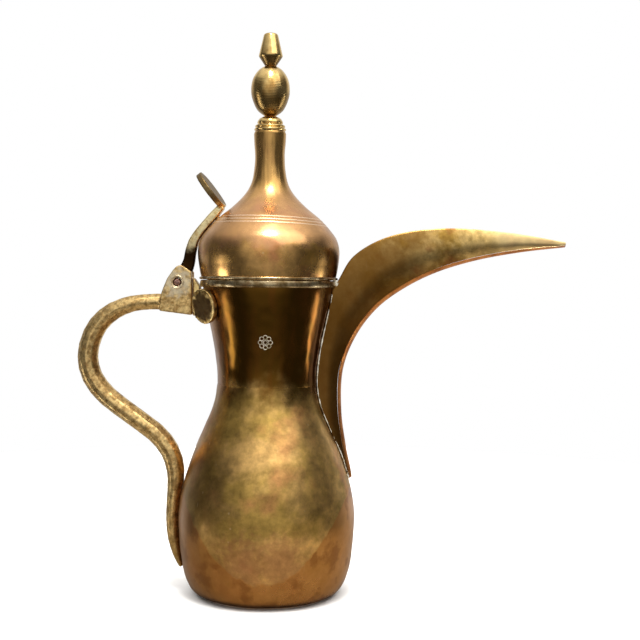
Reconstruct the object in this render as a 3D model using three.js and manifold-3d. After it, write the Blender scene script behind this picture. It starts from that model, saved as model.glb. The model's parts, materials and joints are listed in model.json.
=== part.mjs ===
// A dallah, the long-beaked brass coffee pot of the Gulf, as an assembly of its separate pieces.
// Millimetres, +Z up. The origin is the centre of the flat foot, on the pot's own axis.
// The beak points along +X and the handle along -X.
import * as THREE from "three";
import { mergeVertices } from "three/addons/utils/BufferGeometryUtils.js";
import Module from "manifold-3d";

const wasm = await Module();
wasm.setup();

// ---- driving dimensions -------------------------------------------------------------------------
const TOTAL_HEIGHT = 330;
const FIT_GAP = 0.3; // clear space between pieces that the smith would braze, rivet or stack together
const SHEET = 1.3; // raised sheet of the body and the beak
const LID_SHEET = 1.2;
const ROUND_STEPS = 32; // facets round the pot's own axis

const FOOT_RADIUS = 37.6;
const WAIST_RADIUS = 29.8;
const WAIST_HEIGHT = 124;
const WAIST_LAP = 6; // how far the neck is socketed into the bulb
const MOUTH_RADIUS = 38.5;
const BAND_BOTTOM = 180.9;
const BAND_TOP = 185.1;
const BAND_RADIUS = 40.4;
const LID_BOTTOM = BAND_TOP + FIT_GAP;
const LID_TUBE_TOP = 272.6;

const ROD_RADIUS = 1.6;
const ROD_BORE = ROD_RADIUS + FIT_GAP;

const PIN = new THREE.Vector2(-53.4, 183.6); // the lid hinge's centre in the XZ plane
const PIN_RADIUS = 2.1;
const PIN_BORE = 2.5;
const FORK_HALF = 7;
const SLOT_HALF = 3.2;
const TONGUE_HALF = 2.8;
const KNUCKLE_RADIUS = 6.2;

const RIVET_RADIUS = 1.5;
const RIVET_BORE = RIVET_RADIUS + FIT_GAP;

// ---- outlines of the turned pieces: [radius, height] --------------------------------------------
const BULB_OUTLINE = [
  [FOOT_RADIUS, 0], [45.2, 5], [49.9, 19], [52.1, 42], [50.2, 61],
  [44.6, 80.5], [37.2, 98.5], [31.8, 112.5], [WAIST_RADIUS, WAIST_HEIGHT],
];
const NECK_OUTLINE = [
  [WAIST_RADIUS, WAIST_HEIGHT + FIT_GAP], [30.1, 134], [32, 147.5], [35, 162], [37.4, 173],
  [MOUTH_RADIUS, 180.2],
];
const DOME_OUTLINE = [
  [39.4, LID_BOTTOM], [40.9, 193], [41.7, 202], [40, 209.2], [35.6, 215.4], [29.9, 221.4],
  [21.6, 228.3], [14.6, 235.5], [10.9, 242], [9.2, 250], [8.7, 258], [9.2, 266], [9.4, 271.2],
];
const EGG_OUTLINE = [
  [3.2, 281.6], [7.7, 285.2], [10.7, 291.8], [11.4, 297.6], [10.3, 303.4], [7.2, 308.2],
  [3.4, 310.8],
];

// ---- colours ------------------------------------------------------------------------------------
const brass = (colour, roughness) =>
  new THREE.MeshStandardMaterial({ color: colour, roughness, metalness: 1 });
const sheetBrass = brass(0x9a7436, 0.32);
const castBrass = brass(0xa5884c, 0.5);
const turnedBrass = brass(0xb08f4c, 0.28);
const spelter = brass(0x8f7c58, 0.4);
const iron = brass(0x5c4a44, 0.7);

// ---- small tools --------------------------------------------------------------------------------
const points2 = (pairs) => pairs.map(([a, b]) => new THREE.Vector2(a, b));

/** Points along a smooth curve through the given pairs. */
function smooth(pairs, steps) {
  return new THREE.SplineCurve(points2(pairs)).getPoints(steps);
}

/** A line of points moved sideways by a distance, to the left of its direction. */
function offset(line, distance) {
  return line.map((p, i) => {
    const before = line[Math.max(i - 1, 0)];
    const after = line[Math.min(i + 1, line.length - 1)];
    const along = after.clone().sub(before).normalize();
    return new THREE.Vector2(p.x - along.y * distance, p.y + along.x * distance);
  });
}

/** Six times the volume that an indexed, closed mesh holds: negative if its faces point in. */
function signedVolume(position, index) {
  const [a, b, c] = [new THREE.Vector3(), new THREE.Vector3(), new THREE.Vector3()];
  let sum = 0;
  for (let i = 0; i < index.length; i += 3) {
    a.fromBufferAttribute(position, index[i]);
    b.fromBufferAttribute(position, index[i + 1]);
    c.fromBufferAttribute(position, index[i + 2]);
    sum += a.dot(b.cross(c));
  }
  return sum;
}

/** A geometry with only merged positions, and faces that point out. */
function closed(geometry) {
  geometry.deleteAttribute("normal");
  geometry.deleteAttribute("uv");
  const merged = mergeVertices(geometry, 1e-4);
  const index = merged.index.array;
  if (signedVolume(merged.attributes.position, index) < 0)
    for (let i = 0; i < index.length; i += 3)
      [index[i + 1], index[i + 2]] = [index[i + 2], index[i + 1]];
  return merged;
}

function toSolid(geometry) {
  const shape = closed(geometry);
  return new wasm.Manifold(
    new wasm.Mesh({
      numProp: 3,
      vertProperties: shape.attributes.position.array,
      triVerts: new Uint32Array(shape.index.array),
    }),
  );
}

function toGeometry(solid) {
  const mesh = solid.getMesh();
  return new THREE.BufferGeometry()
    .setAttribute("position", new THREE.BufferAttribute(mesh.vertProperties, mesh.numProp))
    .setIndex(new THREE.BufferAttribute(mesh.triVerts, 1));
}

/** A solid of revolution about Z from a profile of [radius, height] that closes on itself. */
function turned(profile, steps = ROUND_STEPS) {
  const ring = [...profile, profile[0].clone()];
  return closed(new THREE.LatheGeometry(ring, steps).rotateX(Math.PI / 2));
}

/** A plain turned solid between two heights, out to a line of points: used to cut others back. */
function envelope(line, grow) {
  const moved = offset(line, -grow);
  const first = moved[0];
  const last = moved[moved.length - 1];
  return toSolid(
    turned([new THREE.Vector2(0, first.y), ...moved, new THREE.Vector2(0, last.y)]),
  );
}

/** An outline in the XZ plane, extruded to both sides of it. */
function plate(outline, halfWidth) {
  const shape = new THREE.Shape(outline);
  return new THREE.ExtrudeGeometry(shape, { depth: 2 * halfWidth, bevelEnabled: false })
    .translate(0, 0, -halfWidth)
    .rotateX(Math.PI / 2);
}

/** A round bar between two points. */
function roundBar(from, to, radius, steps = 20) {
  const axis = to.clone().sub(from);
  const bar = new THREE.CylinderGeometry(radius, radius, axis.length(), steps);
  const turn = new THREE.Quaternion().setFromUnitVectors(
    new THREE.Vector3(0, 1, 0),
    axis.clone().normalize(),
  );
  const middle = from.clone().add(to).multiplyScalar(0.5);
  return bar.applyQuaternion(turn).translate(middle.x, middle.y, middle.z);
}

/** A closed skin over rings of points, all with the same count. caps lists each end's triangles. */
function skin(rings, caps) {
  const count = rings[0].length;
  const position = rings.flat().flatMap((p) => [p.x, p.y, p.z]);
  const index = [];
  for (let r = 0; r + 1 < rings.length; r++)
    for (let i = 0; i < count; i++) {
      const j = (i + 1) % count;
      const [a, b] = [r * count + i, r * count + j];
      const [c, d] = [a + count, b + count];
      index.push(a, b, d, a, d, c);
    }
  const end = (rings.length - 1) * count;
  for (const [a, b, c] of caps) {
    index.push(c, b, a);
    index.push(end + a, end + b, end + c);
  }
  const geometry = new THREE.BufferGeometry();
  geometry.setAttribute("position", new THREE.Float32BufferAttribute(position, 3));
  geometry.setIndex(index);
  return geometry;
}

/** Cap triangles for a ring that is convex. */
const fanCaps = (count) => Array.from({ length: count - 2 }, (_, i) => [0, i + 1, i + 2]);

/** Cap triangles for a ring made of a line and its inner copy, walked back. */
function stripCaps(lineCount) {
  const last = 2 * lineCount - 1;
  return Array.from({ length: lineCount - 1 }, (_, i) => [
    [i, i + 1, last - i - 1],
    [i, last - i - 1, last - i],
  ]).flat();
}

/** A bar that bends in the XZ plane. Stations are [x, z, depth in the plane, width along Y]. */
function bentBar(stations, section, steps) {
  const centre = new THREE.SplineCurve(points2(stations.map(([x, z]) => [x, z])));
  const size = new THREE.SplineCurve(points2(stations.map(([, , d, w]) => [d, w])));
  const rings = Array.from({ length: steps + 1 }, (_, i) => {
    const at = centre.getPoint(i / steps);
    const along = centre.getTangent(i / steps);
    const { x: depth, y: width } = size.getPoint(i / steps);
    return section.map(([n, b]) => {
      const out = (n * depth) / 2;
      return new THREE.Vector3(at.x - along.y * out, (b * width) / 2, at.y + along.x * out);
    });
  });
  return skin(rings, fanCaps(section.length));
}

// ---- body ---------------------------------------------------------------------------------------
const bulbLine = smooth(BULB_OUTLINE, 12);
const neckLine = smooth(NECK_OUTLINE, 6);
const neckTop = new THREE.Vector2(MOUTH_RADIUS, BAND_TOP - FIT_GAP);

/** The lower shell: raised from sheet, open at the foot and at the waist. */
function bodyBulb() {
  return turned([...bulbLine, ...offset(bulbLine, SHEET).reverse()]);
}

/** The disc brazed into the foot, bevelled to suit the shell's edge. */
function basePlate() {
  const radius = FOOT_RADIUS - 0.4;
  const bevel = 0.85;
  return turned(points2([[0, 0], [radius, 0], [radius - bevel, SHEET], [0, SHEET]]));
}

const POUR_ROWS = 5;
const POUR_LOWEST = 142;
const POUR_PITCH_Z = 7;
const POUR_PITCH_Y = 4.6;
const POUR_HOLE_RADIUS = 2.1;

/** The upper shell, with a sleeve that laps inside the bulb and the pouring holes behind the beak. */
function bodyNeck() {
  const sleeveOuter = WAIST_RADIUS - SHEET - FIT_GAP;
  const outer = [...neckLine, neckTop];
  const inner = offset(outer, SHEET).reverse();
  inner[0].y = neckTop.y;
  inner[inner.length - 1].y = neckLine[0].y;
  const sleeve = points2([
    [sleeveOuter - 1, WAIST_HEIGHT - WAIST_LAP],
    [sleeveOuter, WAIST_HEIGHT - WAIST_LAP],
    [sleeveOuter, neckLine[0].y],
  ]);
  let shell = toSolid(turned([...outer, ...inner, ...sleeve]));
  for (let row = 0; row < POUR_ROWS; row++) {
    const columns = row % 2 ? [-0.5, 0.5] : [-1, 0, 1];
    for (const column of columns) {
      const at = new THREE.Vector3(0, column * POUR_PITCH_Y, POUR_LOWEST + row * POUR_PITCH_Z);
      const hole = roundBar(at, at.clone().setX(MOUTH_RADIUS + SHEET), POUR_HOLE_RADIUS, 10);
      shell = shell.subtract(toSolid(hole));
    }
  }
  return toGeometry(shell);
}

/** The double-beaded band round the mouth, on which the lid sits. */
function mouthBand() {
  const inner = MOUTH_RADIUS + FIT_GAP;
  return turned(
    points2([
      [inner, BAND_BOTTOM], [39.9, BAND_BOTTOM], [BAND_RADIUS, 181.7], [40.3, 182.4], [39.9, 183],
      [40.3, 183.6], [BAND_RADIUS, 184.4], [39.9, BAND_TOP], [inner, BAND_TOP],
    ]),
  );
}

const bodyLine = [...bulbLine, ...neckLine];
const bodyEnvelope = (grow) => envelope(bodyLine, grow);

/** The room that the mouth band takes, which its neighbours are cut back from. */
function bandEnvelope() {
  const radius = BAND_RADIUS + FIT_GAP;
  const [low, high] = [BAND_BOTTOM - 2, BAND_TOP + 2];
  return toSolid(turned(points2([[0, low], [radius, low], [radius, high], [0, high]])));
}

// ---- beak ---------------------------------------------------------------------------------------
// Stations from the foot of the beak to its tip: the keel's outer edge, the point across from it
// (inside the body low down, the free lip higher up), then half widths and the keel bar's depth.
const BEAK = [
  { keel: [48.9, 64.2], lip: [40, 60], keelHalf: 1.4, belly: 2.6, lipHalf: 2.6, depth: 1.2 },
  { keel: [50.2, 70.5], lip: [36, 67], keelHalf: 2.0, belly: 4.6, lipHalf: 4.8, depth: 1.8 },
  { keel: [46.6, 88], lip: [29, 86], keelHalf: 2.4, belly: 6.6, lipHalf: 7.4, depth: 2 },
  { keel: [43.7, 109], lip: [25, 111], keelHalf: 2.6, belly: 7.4, lipHalf: 8.2, depth: 2.1 },
  { keel: [44.4, 133], lip: [25, 139], keelHalf: 2.7, belly: 7.9, lipHalf: 8.6, depth: 2.2 },
  { keel: [51.8, 152.8], lip: [29, 166], keelHalf: 2.8, belly: 8.6, lipHalf: 9, depth: 2.3 },
  { keel: [64, 169.2], lip: [40.4, 184.6], keelHalf: 2.8, belly: 9.3, lipHalf: 9, depth: 2.4 },
  { keel: [79.8, 181.2], lip: [50.8, 200.6], keelHalf: 2.8, belly: 9.3, lipHalf: 8.2, depth: 2.4 },
  { keel: [99, 190.9], lip: [72, 211.9], keelHalf: 2.7, belly: 8.6, lipHalf: 7, depth: 2.4 },
  { keel: [122, 198.1], lip: [103, 216.5], keelHalf: 2.5, belly: 7.2, lipHalf: 5.8, depth: 2.2 },
  { keel: [148, 203.1], lip: [140, 214.5], keelHalf: 2.0, belly: 4.9, lipHalf: 4.2, depth: 1.8 },
  { keel: [174, 206.3], lip: [174, 209.2], keelHalf: 1.5, belly: 2.5, lipHalf: 2.4, depth: 0.9 },
];
const BEAK_STEPS = 26;
const BELLY_AT = 0.55; // how far up the section its widest place is

/** The beak's section at a share of its length, from foot to tip. */
function beakAt(share) {
  const read = (pick) => new THREE.SplineCurve(BEAK.map(pick)).getPoint(share);
  const keel = read((s) => new THREE.Vector2(...s.keel));
  const lip = read((s) => new THREE.Vector2(...s.lip));
  const { x: keelHalf, y: depth } = read((s) => new THREE.Vector2(s.keelHalf, s.depth));
  const { x: belly, y: lipHalf } = read((s) => new THREE.Vector2(s.belly, s.lipHalf));
  return { keel, lip, keelHalf, depth, belly, lipHalf };
}

/** Half width of the section at v, from 0 at the keel to 1 at the lip. */
function beakHalf({ keelHalf, belly, lipHalf }, v) {
  if (v < BELLY_AT) return keelHalf + (belly - keelHalf) * Math.sin((Math.PI / 2) * (v / BELLY_AT));
  const past = (v - BELLY_AT) / (1 - BELLY_AT);
  return belly + (lipHalf - belly) * past * past;
}

const beakShares = Array.from({ length: BEAK_STEPS + 1 }, (_, i) => i / BEAK_STEPS);

/** One side sheet of the beak, cut to the body's surface. side is -1 or 1. */
function beakCheek(side) {
  const across = 7;
  const rings = beakShares.map((share) => {
    const s = beakAt(share);
    const reach = s.keel.distanceTo(s.lip);
    const low = (s.depth + FIT_GAP) / reach;
    const line = Array.from({ length: across }, (_, i) => {
      const v = low + ((1 - low) * i) / (across - 1);
      const at = s.keel.clone().lerp(s.lip, v);
      return { at, half: beakHalf(s, v) };
    });
    const outer = line.map(({ at, half }) => new THREE.Vector3(at.x, side * half, at.y));
    const inner = line.map(
      ({ at, half }) => new THREE.Vector3(at.x, side * Math.max(half - SHEET, 0.4), at.y),
    );
    return [...outer, ...inner.reverse()];
  });
  const sheet = toSolid(skin(rings, stripCaps(across)));
  return toGeometry(sheet.subtract(bodyEnvelope(FIT_GAP)).subtract(bandEnvelope()));
}

/** The half-round bar that closes the beak's lower edge between the two side sheets. */
function beakKeel() {
  const section = [[-1, 1], [-0.95, 0.45], [-0.6, 0.12], [0, 0], [0.6, 0.12], [0.95, 0.45], [1, 1]];
  const rings = beakShares.map((share) => {
    const s = beakAt(share);
    const inward = s.lip.clone().sub(s.keel).normalize();
    return section.map(([across, deep]) => {
      const at = s.keel.clone().addScaledVector(inward, deep * s.depth);
      return new THREE.Vector3(at.x, across * (s.keelHalf + 0.6), at.y);
    });
  });
  const bar = toSolid(skin(rings, fanCaps(section.length)));
  return toGeometry(bar.subtract(bodyEnvelope(FIT_GAP)));
}

// ---- handle -------------------------------------------------------------------------------------
// The cast S bar: [x, z, depth in the plane, width along Y], from the fork down to its tip.
const HANDLE = [
  [-57, 172.1, 10.4, 12], [-70, 171.8, 9.2, 11.6], [-82, 170.2, 9.6, 11.8],
  [-93.5, 165, 10.6, 12.6], [-102.5, 155.5, 11.3, 13], [-107, 141.5, 11.7, 13.2],
  [-104.8, 128, 11.8, 13.2], [-96, 116.2, 11.5, 13], [-81, 104.7, 11.3, 12.8],
  [-66, 93.7, 11.3, 12.6], [-57.2, 82.2, 11.2, 12.2], [-54.2, 69.5, 10.2, 11.4],
  [-55.3, 57, 8.2, 10.2], [-56.1, 45, 7.6, 9.2], [-55.4, 33, 7.2, 8.4],
  [-53.2, 22.5, 5.4, 6.6], [-50.6, 14.4, 2.6, 4.2],
];
const HANDLE_SECTION = [
  [1, 0.3], [0.55, 0.82], [0, 1], [-0.55, 0.82], [-1, 0.3],
  [-1, -0.3], [-0.55, -0.82], [0, -1], [0.55, -0.82], [1, -0.3],
];
const FORK_OUTLINE = [
  [-64, 166.6], [-62.8, 177.1], [-61.2, 181.3], [-59.4, 185.6], [-56.4, 190.1], [-53.8, 192.9],
  [-51.6, 193.8], [-49.4, 192.8], [-45, 189.8], [-44.6, 164.3],
];
const SLOT_OUTLINE = [
  [-67, 176.6], [-67, 200], [-40, 200], [-40, 187], [-45.6, 186.5], [-45.6, 176.6],
];
// The saddle that carries the handle on the neck: a web, a thick middle and two round lobes.
const SADDLE_LEFT = -44.3;
const WEB_OUTLINE = [
  [SADDLE_LEFT, 164], [SADDLE_LEFT, 186.4], [-38, 178.6], [-33, 170], [-33, 162.2],
];
const WEB_HALF = 4.6;
const LOBE_RADIUS = 10.2;
const LOBE_DEPTH = 3;
const LOBE_CENTRE = new THREE.Vector3(-35.8, 18.6, 169.8);
const LOBE_TURN = THREE.MathUtils.degToRad(45); // of a lobe's face, from -X towards the side
const LOBE_LEAN = THREE.MathUtils.degToRad(10); // downwards, to suit the neck's flare
const SADDLE_MIDDLE = [
  [-42.3, -9.6], [-42.3, 9.6], [-34.2, 17.4], [-24, 17.4], [-24, -17.4], [-34.2, -17.4],
];
const SADDLE_MIDDLE_LOW = 162.5;
const SADDLE_MIDDLE_DEPTH = 15;

const pinPoint = (y) => new THREE.Vector3(PIN.x, y, PIN.y);

/** The round space that the hinge pin turns in. */
const pinBore = () => toSolid(roundBar(pinPoint(-2 * FORK_HALF), pinPoint(2 * FORK_HALF), PIN_BORE, 24));

/** The S bar and the fork that holds the lid's hinge, cast as one. */
function handle() {
  const bar = toSolid(bentBar(HANDLE, HANDLE_SECTION, 34));
  const fork = toSolid(plate(points2(FORK_OUTLINE), FORK_HALF));
  const slot = toSolid(plate(points2(SLOT_OUTLINE), SLOT_HALF));
  return toGeometry(bar.add(fork).subtract(slot).subtract(pinBore()).subtract(bodyEnvelope(FIT_GAP)));
}

/** One round lobe of the saddle. side is -1 or 1. */
function saddleLobe(side) {
  const out = new THREE.Vector3(
    -Math.cos(LOBE_TURN) * Math.cos(LOBE_LEAN),
    side * Math.sin(LOBE_TURN) * Math.cos(LOBE_LEAN),
    -Math.sin(LOBE_LEAN),
  );
  const centre = LOBE_CENTRE.clone();
  centre.y *= side;
  const back = centre.clone().addScaledVector(out, -LOBE_DEPTH / 2);
  return toSolid(roundBar(back, centre.addScaledVector(out, LOBE_DEPTH / 2), LOBE_RADIUS, 28));
}

/** The cast saddle that joins the handle to the neck. */
function handleSaddle() {
  const web = toSolid(plate(points2(WEB_OUTLINE), WEB_HALF));
  const block = new THREE.ExtrudeGeometry(new THREE.Shape(points2(SADDLE_MIDDLE)), {
    depth: SADDLE_MIDDLE_DEPTH,
    bevelEnabled: false,
  });
  const middle = toSolid(block.translate(0, 0, SADDLE_MIDDLE_LOW));
  return toGeometry(
    web
      .add(middle)
      .add(saddleLobe(-1))
      .add(saddleLobe(1))
      .subtract(bodyEnvelope(FIT_GAP))
      .subtract(bandEnvelope()),
  );
}

/** The iron hinge pin. Its peened ends lie just inside the fork's faces. */
function hingePin() {
  const half = FORK_HALF - 0.3;
  return closed(roundBar(pinPoint(-half), pinPoint(half), PIN_RADIUS, 24));
}

// ---- lid ----------------------------------------------------------------------------------------
const domeLine = smooth(DOME_OUTLINE, 18);
const domeEnvelope = (grow) => envelope([...domeLine, new THREE.Vector2(8, LID_TUBE_TOP)], grow);

/** Where a lever rivet crosses the dome, and the dome's outward direction there, in the XZ plane. */
const RIVETS = [
  { name: "lever_rivet_lower", at: new THREE.Vector3(-36.4, 0, 214.5) },
  { name: "lever_rivet_upper", at: new THREE.Vector3(-30.3, 0, 221.1) },
];
const RIVET_OUT = new THREE.Vector3(-0.74, 0, 0.673).normalize();

function rivetBores() {
  return RIVETS.map(({ at }) => {
    const from = at.clone().addScaledVector(RIVET_OUT, -6);
    const to = at.clone().addScaledVector(RIVET_OUT, 12);
    return toSolid(roundBar(from, to, RIVET_BORE, 16));
  }).reduce((all, next) => all.add(next));
}

/** The bell-shaped lid, drawn up into a closed tube with a hole for the finial's rod. */
function lidDome() {
  const shoulder = points2([[8.6, LID_TUBE_TOP], [ROD_BORE, LID_TUBE_TOP]]);
  const underside = points2([[ROD_BORE, LID_TUBE_TOP - LID_SHEET], [7.6, LID_TUBE_TOP - LID_SHEET]]);
  const inner = offset(domeLine, LID_SHEET).reverse().slice(1);
  inner[inner.length - 1].y = LID_BOTTOM;
  const shell = toSolid(turned([...domeLine, ...shoulder, ...underside, ...inner]));
  return toGeometry(shell.subtract(rivetBores()));
}

/** The thin wire soldered round the lid's lower edge. */
function lidRimWire() {
  return turned(
    points2([
      [39.9, LID_BOTTOM], [40.5, LID_BOTTOM], [40.8, 185.8], [40.8, 186.5], [40.6, 187], [40.3, 187],
    ]),
  );
}

/** The ring inside the lid that drops into the mouth and keeps the lid in line. */
function lidLocatingRing() {
  return turned(
    points2([
      [35.4, 181.2], [36.5, 181.2], [36.5, 186.6], [38.1, 186.6], [38.1, 187.8], [35.4, 187.8],
    ]),
  );
}

// The cast lever from the hinge up over the dome: [x, z, depth in the plane, width along Y].
const LEVER = [
  [-53.4, 183.6, 9.5, 5.6], [-49.8, 189.4, 8.4, 5.6], [-47.3, 195.4, 7, 5.6],
  [-46.3, 201.2, 6.4, 7.6], [-44.6, 207.2, 5.8, 9.4], [-41.6, 212.4, 5.2, 10.4],
  [-37.2, 217.8, 5, 11], [-32.9, 222.8, 5, 11], [-27.9, 228.5, 4, 10.4],
];
const LEVER_SECTION = [
  [1, 0.6], [0.8, 0.9], [-0.8, 0.9], [-1, 0.6], [-1, -0.6], [-0.8, -0.9], [0.8, -0.9], [1, -0.6],
];
const THUMB_CENTRE = new THREE.Vector3(-34.4, 0, 237.6);
const THUMB_RADIUS = 12.5;
const THUMB_DEPTH = 3.4;
const THUMB_LEAN = THREE.MathUtils.degToRad(36.7); // of the thumb disc's face, up from +X
const THUMB_TWIST = THREE.MathUtils.degToRad(4); // hand-set twist about the disc's long axis

function thumbLever() {
  const arm = toSolid(bentBar(LEVER, LEVER_SECTION, 22));
  const knuckle = toSolid(
    roundBar(pinPoint(-TONGUE_HALF), pinPoint(TONGUE_HALF), KNUCKLE_RADIUS, 28),
  );
  const face = new THREE.Vector3(Math.cos(THUMB_LEAN), 0, Math.sin(THUMB_LEAN));
  const upright = new THREE.Vector3(-Math.sin(THUMB_LEAN), 0, Math.cos(THUMB_LEAN));
  face.applyAxisAngle(upright, -THUMB_TWIST);
  const back = THUMB_CENTRE.clone().addScaledVector(face, -THUMB_DEPTH / 2);
  const front = THUMB_CENTRE.clone().addScaledVector(face, THUMB_DEPTH / 2);
  const thumb = toSolid(roundBar(back, front, THUMB_RADIUS, 32));
  return toGeometry(
    arm
      .add(knuckle)
      .add(thumb)
      .subtract(pinBore())
      .subtract(domeEnvelope(FIT_GAP))
      .subtract(rivetBores()),
  );
}

/** A rivet through the lever and the dome, with its head inside the lid. */
function leverRivet({ at }) {
  const along = (distance) => at.clone().addScaledVector(RIVET_OUT, distance);
  const inside = -(LID_SHEET + FIT_GAP + 0.2);
  const shank = toSolid(roundBar(along(inside - 0.6), along(5), RIVET_RADIUS, 16));
  const head = toSolid(roundBar(along(inside - 1.3), along(inside), 3, 20));
  return toGeometry(shank.add(head));
}

// ---- finial -------------------------------------------------------------------------------------
const FINIAL_STEPS = 24;

/** The stepped collar that caps the lid's tube. */
function finialCollar() {
  return turned(
    points2([
      [ROD_BORE, 272.9], [9, 272.9], [9.3, 273.6], [8.6, 274.4], [8.6, 274.9], [8.9, 275.5],
      [8.2, 276.6], [7.4, 277], [7.5, 277.8], [6.5, 279.7], [4.2, 281.2], [ROD_BORE, 281.2],
    ]),
    FINIAL_STEPS,
  );
}

/** The egg-shaped bead. */
function finialEgg() {
  const line = smooth(EGG_OUTLINE, 14);
  const low = new THREE.Vector2(ROD_BORE, line[0].y);
  const high = new THREE.Vector2(ROD_BORE, line[line.length - 1].y);
  return turned([low, ...line, high], FINIAL_STEPS);
}

/** The tip: two cones base to base, screwed onto the rod. */
function finialTip() {
  const bottom = 311.1;
  const boreTop = 322;
  return turned(
    points2([
      [ROD_BORE, bottom], [3.4, bottom], [7, 316.4], [7.05, 317.3], [4.1, 329.3],
      [3.5, TOTAL_HEIGHT], [0, TOTAL_HEIGHT], [0, boreTop], [ROD_BORE, boreTop],
    ]),
    FINIAL_STEPS,
  );
}

/** The rod that ties the finial's beads to the lid, with its riveted head inside the tube. */
function finialRod() {
  return turned(
    points2([
      [0, 267.7], [2.6, 267.7], [3.2, 268.3], [3.2, 269.3], [ROD_RADIUS, 269.3],
      [ROD_RADIUS, 321.6], [0, 321.6],
    ]),
    16,
  );
}

function finialWasher() {
  return turned(points2([[ROD_BORE, 269.6], [5.6, 269.6], [5.6, 271.1], [ROD_BORE, 271.1]]), 24);
}

// ---- assembly -----------------------------------------------------------------------------------
function piece(name, geometry, material) {
  const mesh = new THREE.Mesh(geometry, material);
  mesh.name = name;
  return mesh;
}

const pot = new THREE.Group();
pot.add(
  piece("body_bulb", bodyBulb(), sheetBrass),
  piece("body_neck", bodyNeck(), sheetBrass),
  piece("base_plate", basePlate(), sheetBrass),
  piece("mouth_band", mouthBand(), spelter),
  piece("spout_cheek_left", beakCheek(1), sheetBrass),
  piece("spout_cheek_right", beakCheek(-1), sheetBrass),
  piece("spout_keel", beakKeel(), sheetBrass),
  piece("handle", handle(), castBrass),
  piece("handle_saddle", handleSaddle(), castBrass),
  piece("hinge_pin", hingePin(), iron),
);

const lid = new THREE.Group();
lid.add(
  piece("lid_dome", lidDome(), sheetBrass),
  piece("lid_rim_wire", lidRimWire(), spelter),
  piece("lid_locating_ring", lidLocatingRing(), sheetBrass),
  piece("thumb_lever", thumbLever(), castBrass),
  ...RIVETS.map((rivet) => piece(rivet.name, leverRivet(rivet), castBrass)),
  piece("finial_collar", finialCollar(), turnedBrass),
  piece("finial_egg", finialEgg(), turnedBrass),
  piece("finial_tip", finialTip(), turnedBrass),
  piece("finial_rod", finialRod(), iron),
  piece("finial_washer", finialWasher(), spelter),
);
pot.add(lid);

export default pot;
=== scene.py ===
# %% [markdown]
# # A brass dallah
# A dallah is the coffee pot of the Gulf: a waisted body of raised brass sheet, a long open beak,
# a cast S-shaped handle and a bell-shaped lid that tips back on a hinge over the handle.
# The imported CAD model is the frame. It holds every size and the lid's joint, so each piece below
# takes the place of the CAD node that it stands for, and this lesson is about surfaces and light.

# %% Load the frame
import json
import math

import bmesh
import bpy
import numpy as np
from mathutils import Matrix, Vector, noise

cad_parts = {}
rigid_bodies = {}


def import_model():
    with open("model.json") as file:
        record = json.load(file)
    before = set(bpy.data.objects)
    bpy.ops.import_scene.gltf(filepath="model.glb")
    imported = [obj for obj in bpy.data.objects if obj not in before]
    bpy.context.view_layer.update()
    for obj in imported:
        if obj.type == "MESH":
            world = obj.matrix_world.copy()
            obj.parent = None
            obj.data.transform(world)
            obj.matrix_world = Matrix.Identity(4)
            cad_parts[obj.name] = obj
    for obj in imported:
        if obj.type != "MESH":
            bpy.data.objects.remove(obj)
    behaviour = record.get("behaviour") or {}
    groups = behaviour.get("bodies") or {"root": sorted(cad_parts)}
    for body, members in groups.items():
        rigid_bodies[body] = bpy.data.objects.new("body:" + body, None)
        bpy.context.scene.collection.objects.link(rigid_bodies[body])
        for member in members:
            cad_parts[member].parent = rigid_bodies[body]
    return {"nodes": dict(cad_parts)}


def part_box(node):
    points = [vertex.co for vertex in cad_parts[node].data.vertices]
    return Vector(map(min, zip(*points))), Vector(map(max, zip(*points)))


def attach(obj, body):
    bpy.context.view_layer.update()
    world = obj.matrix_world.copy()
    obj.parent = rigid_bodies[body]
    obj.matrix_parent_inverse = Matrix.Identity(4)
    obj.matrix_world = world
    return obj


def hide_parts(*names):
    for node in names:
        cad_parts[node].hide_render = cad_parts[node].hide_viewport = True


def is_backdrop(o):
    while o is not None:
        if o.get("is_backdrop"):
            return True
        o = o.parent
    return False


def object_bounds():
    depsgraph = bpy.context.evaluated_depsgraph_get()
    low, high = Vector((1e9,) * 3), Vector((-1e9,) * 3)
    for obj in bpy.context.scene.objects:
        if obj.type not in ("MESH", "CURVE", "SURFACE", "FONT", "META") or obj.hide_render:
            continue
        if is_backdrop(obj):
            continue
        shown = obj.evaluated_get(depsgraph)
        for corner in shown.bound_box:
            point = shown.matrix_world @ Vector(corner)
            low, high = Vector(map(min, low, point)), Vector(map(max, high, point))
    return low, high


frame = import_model()
MM = 0.001
cad_low, cad_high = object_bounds()
print("CAD box, mm:", [round(v / MM, 1) for v in (*cad_low, *cad_high)])

# %% [markdown]
# ## The camera
# The pot is seen square on, from mouth height and from about twice its own height away, with a
# long lens, so the beak keeps its sweep and the foot shows only a slight curve. The camera could be
# placed by hand, but working it out from the frame's box keeps the framing if the pot changes.

# %% Place the camera
def placed(name, data):
    """A new object in the scene."""
    made = bpy.data.objects.new(name, data)
    bpy.context.scene.collection.objects.link(made)
    return made


height = cad_high.z - cad_low.z
CAMERA_AWAY = 2.06 * height
CAMERA_LENS = 64.7
CAMERA_TURN = math.radians(1.0)  # towards the beak's side
CAMERA_DIP = math.radians(1.75)
CAMERA_ROLL = math.radians(0.6)
AIM_DROP = 0.009 * height

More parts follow.
